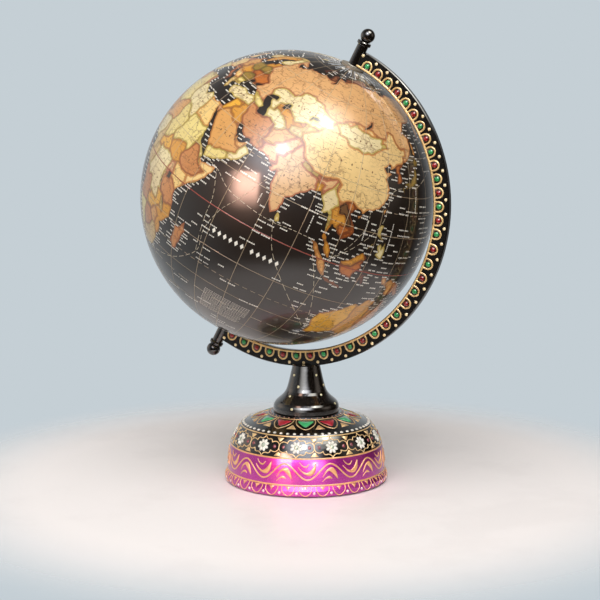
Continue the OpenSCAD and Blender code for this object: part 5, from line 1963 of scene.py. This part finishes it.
def stroke_wish(here, run, length):
    """A stroke that may be printed: its start, way and length, and the places that have to be clear."""
    return here, run, length, [here + run * (0.5 + length * t) for t in (0.05, 0.35, 0.7, 1.0, 1.15)]


def island_wishes():
    """Rows of strokes beside every island group, one to three words long."""
    wishes = []
    for entry in ISLAND_NAMES.split(","):
        lat, lon, rows = (float(v) for v in entry.split())
        for row in range(int(rows)):
            here = unit(lat - 2.2 * row, lon)
            run = east(here) / BALL_RADIUS
            gone = 0.6 + 1.6 * chance(lat, lon, row)
            for word in range(1 + int(2.2 * chance(lon, lat, row, 3.1))):
                length = 3.2 + 3.4 * chance(lat, lon, row, word + 1.0)
                wishes.append(stroke_wish(here + run * gone, run, length))
                gone += length + 1.4
    return wishes


def spaced_marks(rows, length, height):
    """Spaced lozenges along parallels."""
    marks = []
    for lat, first, last, count in rows:
        for k in range(count):
            spot = unit(lat, first + (last - first) * k / (count - 1))
            marks.append((spot, east(spot), length, height))
    return marks


def coast_strokes(atlas):
    """Short label strokes by islands and off coasts, along parallels, clear of land and of each other."""
    wishes = island_wishes()
    for number, (_, _, outline) in enumerate(atlas.lands):
        gone = 0.0
        for k in range(len(outline)):
            here = outline[k]
            gone += float(np.linalg.norm(outline[(k + 1) % len(outline)] - here)) * BALL_RADIUS
            if gone < 1.2 or chance(k, number, 1.7) > (0.85 if abs(here[2]) < 0.92 else 0.12):
                continue
            gone = 0.0
            length = 1.8 + 4.2 * chance(k, number, 5.3) ** 1.4
            for way in (1.0, -1.0):
                wishes.append(stroke_wish(here, east(here) * way / BALL_RADIUS, length))
    spots = np.array([spot for wish in wishes for spot in wish[3]])
    spots /= np.linalg.norm(spots, axis=1)[:, None]
    blocked = on_land(atlas, spots).reshape(len(wishes), -1).any(1)
    marks = chain_marks()
    middles = np.array([mark[0] for mark in marks])
    lengths = np.array([mark[2] for mark in marks])
    for wish, stop in zip(wishes, blocked):
        if stop:
            continue
        here, run, length, _ = wish
        middle = here + run * (0.5 + length / 2)
        middle /= np.linalg.norm(middle)
        gap = (middles - middle) * BALL_RADIUS
        along_it = np.abs(gap @ east(middle))
        across = np.sqrt(np.maximum(0.0, (gap ** 2).sum(1) - along_it ** 2))
        room = 1.5 + 1.3 * chance(middle[0], length, 4.1) ** 2
        if ((across < room) & (along_it < (lengths + length) / 2 + 0.6)).any():
            continue
        middles = np.vstack((middles, middle))
        lengths = np.append(lengths, length)
        marks.append((middle, run, length, 0.82 + 0.3 * chance(length, middle[0], 8.8)))
    return marks


def land_strokes(atlas):
    """Small dark strokes strewn over the lands along the parallels."""
    spots = []
    for row in range(-32, 46):
        lat = row * 1.8
        count = int(165 * math.cos(math.radians(lat)))
        for k in range(count):
            if chance(row, k, 2.2) < 0.36:
                continue
            shift = chance(row, k, 6.1) - 0.5
            place = unit(lat + 0.9 * (chance(row, k, 4.4) - 0.5), 360 * (k + shift * 0.7) / max(1, count))
            spots.append((place, 0.9 + 2.2 * chance(row, k, 7.7)))
    flags = on_land(atlas, [s for s, _ in spots])
    far = on_land(atlas, [s + east(s) * 0.022 for s, _ in spots])
    near = on_land(atlas, [s - east(s) * 0.022 for s, _ in spots])
    return [
        (s, east(s), long, 0.34)
        for (s, long), a, b, c in zip(spots, flags, far, near) if a and b and c
    ]


def note_block():
    """Fifteen close rows in the southern sea: eight reach the margin and the others end raggedly."""
    marks = []
    for k in range(15):
        last = 88.4 - 0.06 * k if k < 8 else 84.5 + 2.5 * chance(k, 5.0)
        marks += row_marks(-33.6 - 0.86 * k, 65.4 - 0.18 * k, last, 0.72)
    return marks


class DESKGLOBE_OT_map_marks(bpy.types.Operator):
    """Prints the plain strokes and lozenges that stand where a map has its names"""

    bl_idname = "deskglobe.map_marks"
    bl_label = "Small marks of the map"

    def execute(self, context):
        look = context.scene.deskglobe_map
        atlas = Atlas()
        radius = look.skin_radius + 0.03 * MM
        pale = printing_ink("label_ink", look.label, paint("b7ae9f"))
        dark = printing_ink("dark_label_ink", paint("805a35"), paint("5a3c20"))
        print_marks("map_coast_strokes", BROKEN_BAR, coast_strokes(atlas), radius, pale)
        print_marks("map_land_strokes", TWO_BARS, land_strokes(atlas), radius, dark)
        print_marks("map_ocean_lozenges", LOZENGE, spaced_marks(OCEAN_NAMES, 2.6, 4.2), radius, pale)
        raised = radius + 0.01 * MM
        print_marks("map_land_lozenges", LOZENGE, spaced_marks(LAND_NAMES, 1.2, 1.9), raised, dark)
        note_ink = printing_ink("note_ink", paint("cdc3b6"), paint("9a9084"))
        print_marks("map_note_lines", BROKEN_BAR, note_block(), radius, note_ink)
        return {"FINISHED"}


# ---------------------------------------------------------------- ornament of the arm
# The beads sit closer on the upper arm: how many steps, and how many degrees each.
BEAD_STEPS = ((14, 4.9), (19, 5.6))
ARM_DRAWING_RADIUS = 109.0
FIRST_BEAD = 58.8
# The single dots above the first bead and below the last one.
END_DOTS = (62.0, -118.6)
RAIL_START = 63.3
RAIL_STEP = 1.2
RAIL_POINTS = 154
# Distances of the ornament from the arm's centre.
RAIL_RADIUS = 104.4
ARCH_RADIUS = 104.6
BEAD_RADIUS = 107.4
ARM_DOT_RADIUS = 112.2


def bead_angles():
    """The angle of every bead, from the top of the arm down."""
    angles = [FIRST_BEAD]
    for count, step in BEAD_STEPS:
        for _ in range(count):
            angles.append(angles[-1] - step)
    return angles


def arm_y(radius):
    """Distance in from the arm's outer edge, which is where its profile starts."""
    return ARM_OUTER - radius


def arm_places(angles, radius, flip):
    """Places on one face of the arm for angles in degrees."""
    return [(math.radians(-a if flip else a) * ARM_DRAWING_RADIUS, arm_y(radius)) for a in angles]


def arm_turns():
    """How the drawing's frame lies on the front and on the back of the arm."""
    place = Matrix.Translation(ARM_CENTRE * MM)
    front = Matrix(((1, 0, 0), (0, 0, -1), (0, 1, 0))).to_4x4()
    back = Matrix(((1, 0, 0), (0, 0, 1), (0, -1, 0))).to_4x4()
    return (("front", False, place @ front), ("back", True, place @ back))


class DESKGLOBE_OT_arm_ornament(bpy.types.Operator):
    """Paints the arches, enamel beads, dots and gold line on both faces of the arm"""

    bl_idname = "deskglobe.arm_ornament"
    bl_label = "Ornament of the arm"

    def execute(self, context):
        look = context.scene.deskglobe_stand
        gold = enamel("gold_relief_on_arm", look.gold, paint("a5743c"), 0.35, 0.28)
        green = enamel("green_enamel_beads", look.green, paint("0a4f24"), 0.0, 0.06)
        red = enamel("red_enamel_beads", look.red, paint("4a070a"), 0.0, 0.06)
        dots = enamel("cream_dots_on_arm", paint("f0dcae"), paint("c9a468"), 0.1, 0.25)
        ground = enamel("brown_ground_in_arches", paint("2a1710"), paint("150c08"), 0.0, 0.2)
        path = mirrored([(-3.2, 0.2), (-3.3, -1.6), (-3.1, -3.4), (-2.1, -5.0), (0.0, -5.9)])
        arch = Motif().line(rounded(path, 4), 1.4, 0.45)
        path = mirrored([(-2.8, 0.2), (-2.9, -1.6), (-2.6, -3.3), (0.0, -5.3)])
        floor = Motif().patch(rounded(path, 2), 0.06, 0.3)
        bead = drop(3.6, 3.7, 1.15, 14, 4)
        dot = drop(2.3, 2.3, 0.6)
        beads = bead_angles()
        between = [(a + b) / 2 for a, b in zip(beads, beads[1:])]
        dot_angles = [END_DOTS[0], *between, END_DOTS[1]]
        for side, flip, turn in arm_turns():
            sign = -1 if flip else 1
            turns = [math.radians(RAIL_START - k * RAIL_STEP) for k in range(RAIL_POINTS)]
            path = [(sign * t * ARM_DRAWING_RADIUS, arm_y(RAIL_RADIUS)) for t in turns]
            rail = Motif().line(path, 1.6, 0.42)
            arches = arm_places(beads, ARCH_RADIUS, flip)
            for name, drawings, finish in (
                ("arm_gold_", [(rail, [(0.0, 0.0)]), (arch, arches)], gold),
                ("arm_arch_grounds_", [(floor, arches)], ground),
                ("arm_green_beads_", [(bead, arm_places(beads[0::2], BEAD_RADIUS, flip))], green),
                ("arm_red_beads_", [(bead, arm_places(beads[1::2], BEAD_RADIUS, flip))], red),
                ("arm_dots_", [(dot, arm_places(dot_angles, ARM_DOT_RADIUS, flip))], dots),
            ):
                lay(name + side, drawings, ARM_PROFILE, ARM_DRAWING_RADIUS, finish, turn)
        return {"FINISHED"}


# ---------------------------------------------------------------- ornament of the base and the stem
WALL_DRAWING_RADIUS = 54.0
FOOT_DRAWING_RADIUS = 56.8
CROWN_DRAWING_RADIUS = 34.0
STEM_DRAWING_RADIUS = 15.0
VINE_WAVES = 11
FLOWER_COUNT = 13
# Turns from the camera's side, in degrees, of the first crest, flower and leaf.
FIRST_CREST = -15.4
FIRST_FLOWER = -63.0
FIRST_LEAF = -0.6
FRAME_WIDTH = 25.2
# Heights of the ornament on the wall and the foot.
FLOWER_HEIGHT = 33.0
VINE_HEIGHT = 17.4
FOOT_ARCH_HEIGHT = 7.6
FOOT_DOT_HEIGHT = 3.3
# Distances of the crown's ornament from the upright axis.
WHITE_DOT_RADIUS = 43.9
CROWN_EDGE = 27.2
GOLD_RING_RADIUS = 26.9
PINK_DOT_RADIUS = 25.5
WHITE_DOTS = 58
PINK_DOTS = 40
# Dots on the stem stand in even rings, and every other ring is twisted against the one below it.
STEM_RINGS = 4
STEM_RING_DOTS = 4
LOWEST_STEM_RING = 54.0
STEM_RING_STEP = 7.0
STEM_RING_TWIST = 30.0
FIRST_STEM_DOT = -50.0


def round_x(turn, radius):
    """Distance round a drawing for an angle in degrees from the camera's side."""
    return math.radians(CAMERA_SIDE + turn) * radius


def ring_line(y, width, lift, radius, count):
    """A gold line round the base, drawn as pieces that meet, and the places of the pieces."""
    span = 2 * math.pi * radius / count
    piece = Motif().line([(span * k / 6, 0.0) for k in range(7)], width, lift, ends=False)
    return piece, [(span * k, y) for k in range(count)]


def wedge(low, low_half, high, high_half):
    """A laid wedge, as wide at its low and high side as said."""
    corners = [(-low_half, low), (low_half, low), (high_half, high), (-high_half, high)]
    return Motif().patch(corners, 0.34, 0.5, 0.06)


def lay_base(name, drawings, radius, finish, shade=True):
    """Rolls drawings round the base."""
    lay(name, drawings, BASE_PROFILE, radius, finish, shade=shade)


class DESKGLOBE_OT_base_vine(bpy.types.Operator):
    """Paints the waving stem, its leaves and the foot arches on the candy wall of the base"""

    bl_idname = "deskglobe.base_vine"
    bl_label = "Vine and foot arches of the base"

    def execute(self, context):
        gold = enamel("gold_relief_on_wall", paint("f2b377"), paint("cf8a4e"), 0.1, 0.25)
        pale = enamel("pale_dots_on_foot", paint("f4d8dc"), paint("dba9b8"), 0.0, 0.2)
        radius = WALL_DRAWING_RADIUS
        middle = along(BASE_PROFILE, VINE_HEIGHT)
        wave = 2 * math.pi * radius / VINE_WAVES
        shares = [k / 24 for k in range(25)]
        path = [(wave * s - wave / 2, 5.3 * math.cos(2 * math.pi * (s - 0.5))) for s in shares]
        vine = Motif().line(path, 1.15, 0.4, ends=False)
        under = rounded([(-5.4, -3.6), (-3.6, -0.6), (-1.4, 1.3), (0.9, 1.2), (2.9, -0.9), (5.0, -5.0)], 4)
        vine.line(under, eased([0.5, 0.9, 1.6, 3.7, 2.9, 0.4], len(under)), 0.5)
        curl = rounded([(-5.6, -6.6), (-3.4, -4.5), (-1.0, -3.7), (1.0, -4.6)], 4)
        vine.line(curl, eased([0.4, 0.8, 1.9, 0.6], len(curl)), 0.35)
        half = wave / 2
        over = rounded([(-6.4, 3.4), (-4.0, 0.7), (-1.0, -1.1), (1.9, -0.8), (4.0, 1.5), (5.6, 6.0)], 4)
        over = [(x + half, y) for x, y in over]
        vine.line(over, eased([0.5, 0.9, 1.7, 3.5, 3.1, 0.4], len(over)), 0.5)
        curl = rounded([(-5.6, 6.8), (-3.4, 4.2), (-0.8, 3.6), (1.2, 5.8)], 4)
        vine.line([(x + half, y) for x, y in curl], eased([0.4, 0.8, 1.2, 0.4], len(curl)), 0.35)
        crests = [(round_x(FIRST_CREST + 360 / VINE_WAVES * k, radius), middle) for k in range(VINE_WAVES)]
        lower = ring_line(along(BASE_PROFILE, BASE_LOWER_LINE), 1.3, 0.4, radius, 30)
        upper = ring_line(along(BASE_PROFILE, BASE_UPPER_LINE), 1.2, 0.4, radius, 30)
        lay_base("base_vine", [(vine, crests), lower, upper], radius, gold)
        radius = FOOT_DRAWING_RADIUS
        path = rounded([(-4.6, 0.0), (-4.3, -2.6), (-2.7, -5.2), (0.0, -6.9)], 4)
        arch = Motif().line(mirrored(path), 0.75, 0.32)
        arch.patch(mirrored([(-2.2, -0.2), (-0.8, -1.6), (0.0, -3.2)]), 0.35, 0.4, 0.1)
        top = along(BASE_PROFILE, FOOT_ARCH_HEIGHT)
        low = along(BASE_PROFILE, FOOT_DOT_HEIGHT)
        arches = [(round_x(FIRST_LEAF + 12 * k, radius), top) for k in range(30)]
        dots = [(round_x(FIRST_LEAF + 6 + 12 * k, radius), low) for k in range(30)]
        lay_base("base_foot_arches", [(arch, arches)], radius, gold)
        lay_base("base_foot_dots", [(drop(2.1, 2.0, 0.55), dots)], radius, pale)
        return {"FINISHED"}


class DESKGLOBE_OT_base_flowers(bpy.types.Operator):
    """Paints the lobed frames, raised flowers and red drops on the black band of the base"""

    bl_idname = "deskglobe.base_flowers"
    bl_label = "Flower frames of the base"

    def execute(self, context):
        look = context.scene.deskglobe_stand
        gold = enamel("gold_relief_on_band", paint("ecca90"), paint("bf9258"), 0.25, 0.28)
        white = enamel("white_enamel_petals", look.white, paint("c9c3b2"), 0.0, 0.15)
        stone = enamel("grey_green_stones", paint("b9c4ae"), paint("6f7a68"), 0.15, 0.08)
        ruby = enamel("ruby_drops", paint("93283a"), paint("4a0d16"), 0.0, 0.1)
        radius = WALL_DRAWING_RADIUS - 1.8
        middle = along(BASE_PROFILE, FLOWER_HEIGHT)
        step = 360 / FLOWER_COUNT
        turns = [FIRST_FLOWER + step * k for k in range(FLOWER_COUNT)]
        stretch = math.radians(step) * radius / FRAME_WIDTH
        flower_places = [(round_x(turn, radius), middle) for turn in turns]
        frames = [(x, y, 0.0, stretch, 1.0) for x, y in flower_places]
        corner = rounded([(12.7, 0.0), (12.1, 2.2), (10.4, 3.5), (8.4, 3.5), (6.6, 2.7)], 3)
        lobe = rounded([(6.6, 2.7), (6.2, 4.2), (4.9, 5.0), (3.5, 4.7)], 3)
        peak = rounded([(3.5, 4.7), (2.2, 4.9), (0.9, 5.8), (0.0, 7.0)], 3)
        quarter = corner + lobe[1:] + peak[1:]
        upper_half = mirrored(quarter)
        whole = upper_half + [(x, -y) for x, y in upper_half[-2:0:-1]]
        frame_line = Motif().line(whole, 0.72, 0.34, closed=True)
        wedges = [(round_x(turn + step / 2, radius), middle) for turn in turns]
        above = wedge(3.4, 0.5, 6.6, 2.9)
        below = wedge(-6.4, 2.9, -3.2, 0.5)
        top_line = ring_line(along(BASE_PROFILE, CROWN_LINE), 0.95, 0.35, radius, 30)
        gilded = [(frame_line, frames), (above, wedges), (below, wedges), top_line]
        lay_base("base_flower_frames", gilded, radius, gold)
        petals = Motif()
        for k in range(8):
            a = math.radians(45 * k + 22.5)
            petals.dome(3.0 * math.cos(a), 3.0 * math.sin(a), 3.0, 2.4, 0.75, 10, 3, a, 0.15)
        round_turns = [math.radians(20 * k) for k in range(18)]
        petals.line([(1.9 * math.cos(a), 1.9 * math.sin(a)) for a in round_turns], 0.8, 0.8, closed=True)
        lay_base("base_flower_petals", [(petals, flower_places)], radius, white)
        stones = [(drop(3.4, 3.4, 1.0, 8, 3), flower_places)]
        lay_base("base_flower_stones", stones, radius, stone, shade=False)
        aside = 9.2 * stretch
        drops = [(x + way, y) for x, y in flower_places for way in (-aside, aside)]
        lay_base("base_ruby_drops", [(drop(2.5, 2.6, 0.6), drops)], radius, ruby)
        return {"FINISHED"}


class DESKGLOBE_OT_base_crown(bpy.types.Operator):
    """Paints the enamel leaves, gold wedges and dot rings on the crown of the base"""

    bl_idname = "deskglobe.base_crown"
    bl_label = "Leaves of the crown"

    def execute(self, context):
        look = context.scene.deskglobe_stand
        gold = enamel("gold_relief_on_crown", paint("e4c088"), paint("b3834a"), 0.25, 0.28)
        green = enamel("green_enamel_leaves", paint("4cc47c"), paint("238048"), 0.0, 0.1)
        red = enamel("red_enamel_leaves", paint("bd2436"), paint("75101c"), 0.0, 0.1)
        white = enamel("white_enamel_dots", look.white, paint("cfc8b6"), 0.0, 0.15)
        pink = enamel("pink_gold_dots", paint("c98f78"), paint("8f5a48"), 0.15, 0.25)
        radius = CROWN_DRAWING_RADIUS
        run = (SHOULDER_D - CROWN_D) / 2
        slope = math.hypot(run, BASE_H - SHOULDER_H)

        def up(r):
            return along(BASE_PROFILE, SHOULDER_H) + slope * (SHOULDER_D / 2 - r) / run

        def spread(outline):
            return [(x * radius / max(24.0, CROWN_EDGE - y), y) for x, y in outline]

        inner = up(CROWN_EDGE)
        half_leaf = rounded([(-6.3, -0.2), (-6.8, -3.2), (-5.8, -7.0), (-2.6, -10.9), (0.0, -12.2)], 3)
        leaf_line = Motif().line(spread(mirrored(half_leaf)), 0.85, 0.35)
        fill = mirrored([(-5.2, -1.7), (-4.9, -3.6), (-2.5, -7.0), (0.0, -9.3)]) + [(0.0, -1.5)]
        leaf_fill = Motif().patch(spread(rounded(fill, 2, True)), 0.34, 0.6, 0.15)
        turns = [FIRST_LEAF + 30 * k for k in range(12)]
        leaves = [(round_x(turn, radius), inner) for turn in turns]
        corners = spread([(-3.6, -12.0), (3.6, -12.0), (0.5, -7.0), (-0.5, -7.0)])
        gap_piece = Motif().patch(corners, 0.34, 0.5, 0.06)
        gaps = [(round_x(turn + 15, radius), inner) for turn in turns]
        ring = ring_line(up(GOLD_RING_RADIUS), 0.8, 0.35, radius, 28)
        lay_base("crown_gold", [(leaf_line, leaves), (gap_piece, gaps), ring], radius, gold)
        lay_base("crown_green_leaves", [(leaf_fill, leaves[0::2])], radius, green)
        lay_base("crown_red_leaves", [(leaf_fill, leaves[1::2])], radius, red)
        high = up(WHITE_DOT_RADIUS)
        dots = [(round_x(2.0 + 360 / WHITE_DOTS * k, radius), high) for k in range(WHITE_DOTS)]
        lay_base("crown_white_dots", [(drop(2.4 * radius / 44.0, 2.3, 0.8), dots)], radius, white)
        high = up(PINK_DOT_RADIUS)
        bits = [(round_x(FIRST_LEAF + 360 / PINK_DOTS * k, radius), high) for k in range(PINK_DOTS)]
        lay_base("crown_pink_dots", [(drop(1.1 * radius / 25.4, 1.0, 0.4, 8, 2), bits)], radius, pink)
        return {"FINISHED"}


class DESKGLOBE_OT_stem_dots(bpy.types.Operator):
    """Sets the scattered cream dots on the stem"""

    bl_idname = "deskglobe.stem_dots"
    bl_label = "Dots of the stem"

    def execute(self, context):
        cream = enamel("cream_dots_on_stem", paint("efe3b4"), paint("c7b27c"), 0.1, 0.2)
        radius = STEM_DRAWING_RADIUS
        places = []
        for row in range(STEM_RINGS):
            for k in range(STEM_RING_DOTS):
                twist = STEM_RING_TWIST * (row % 2 == 0)
                turn = FIRST_STEM_DOT + twist + 360 / STEM_RING_DOTS * k + 12 * (chance(row, k) - 0.5)
                height = LOWEST_STEM_RING + STEM_RING_STEP * row + 2 * (chance(k, row) - 0.5)
                near = min(STEM_PROFILE, key=lambda p: abs(p[1] - height))[0]
                places.append((round_x(turn, radius), along(STEM_PROFILE, height), 0.0, radius / near, 1.0))
        lay("stem_dots", [(drop(2.0, 2.0, 0.55), places)], STEM_PROFILE, radius, cream)
        return {"FINISHED"}


# ---------------------------------------------------------------- panel and run
STEPS = (
    DESKGLOBE_OT_finishes,
    DESKGLOBE_OT_map_skins,
    DESKGLOBE_OT_map_lines,
    DESKGLOBE_OT_map_marks,
    DESKGLOBE_OT_arm_ornament,
    DESKGLOBE_OT_stem_dots,
    DESKGLOBE_OT_base_vine,
    DESKGLOBE_OT_base_flowers,
    DESKGLOBE_OT_base_crown,
    DESKGLOBE_OT_stage,
)
SETTINGS = (DeskGlobeMapSettings, DeskGlobeStandSettings, DeskGlobeStageSettings)


class DESKGLOBE_PT_panel(bpy.types.Panel):
    """Lists the pieces of the desk globe"""

    bl_idname = "DESKGLOBE_PT_panel"
    bl_label = "Desk globe"
    bl_space_type = "VIEW_3D"
    bl_region_type = "UI"
    bl_category = "Desk globe"

    def draw(self, context):
        for step in STEPS:
            self.layout.operator(step.bl_idname)


def register():
    """Registers the classes and their settings."""
    for kind in SETTINGS + STEPS + (DESKGLOBE_PT_panel,):
        bpy.utils.register_class(kind)
    bpy.types.Scene.deskglobe_map = bpy.props.PointerProperty(type=DeskGlobeMapSettings)
    bpy.types.Scene.deskglobe_stand = bpy.props.PointerProperty(type=DeskGlobeStandSettings)
    bpy.types.Scene.deskglobe_stage = bpy.props.PointerProperty(type=DeskGlobeStageSettings)


def unregister():
    """Takes the classes and settings away again."""
    del bpy.types.Scene.deskglobe_stage
    del bpy.types.Scene.deskglobe_stand
    del bpy.types.Scene.deskglobe_map
    for kind in reversed(SETTINGS + STEPS + (DESKGLOBE_PT_panel,)):
        bpy.utils.unregister_class(kind)


def main():
    """Builds every piece in order."""
    register()
    for step in STEPS:
        group, call = step.bl_idname.split(".")
        getattr(getattr(bpy.ops, group), call)()
    bpy.context.view_layer.update()


if __name__ == "__main__":
    main()
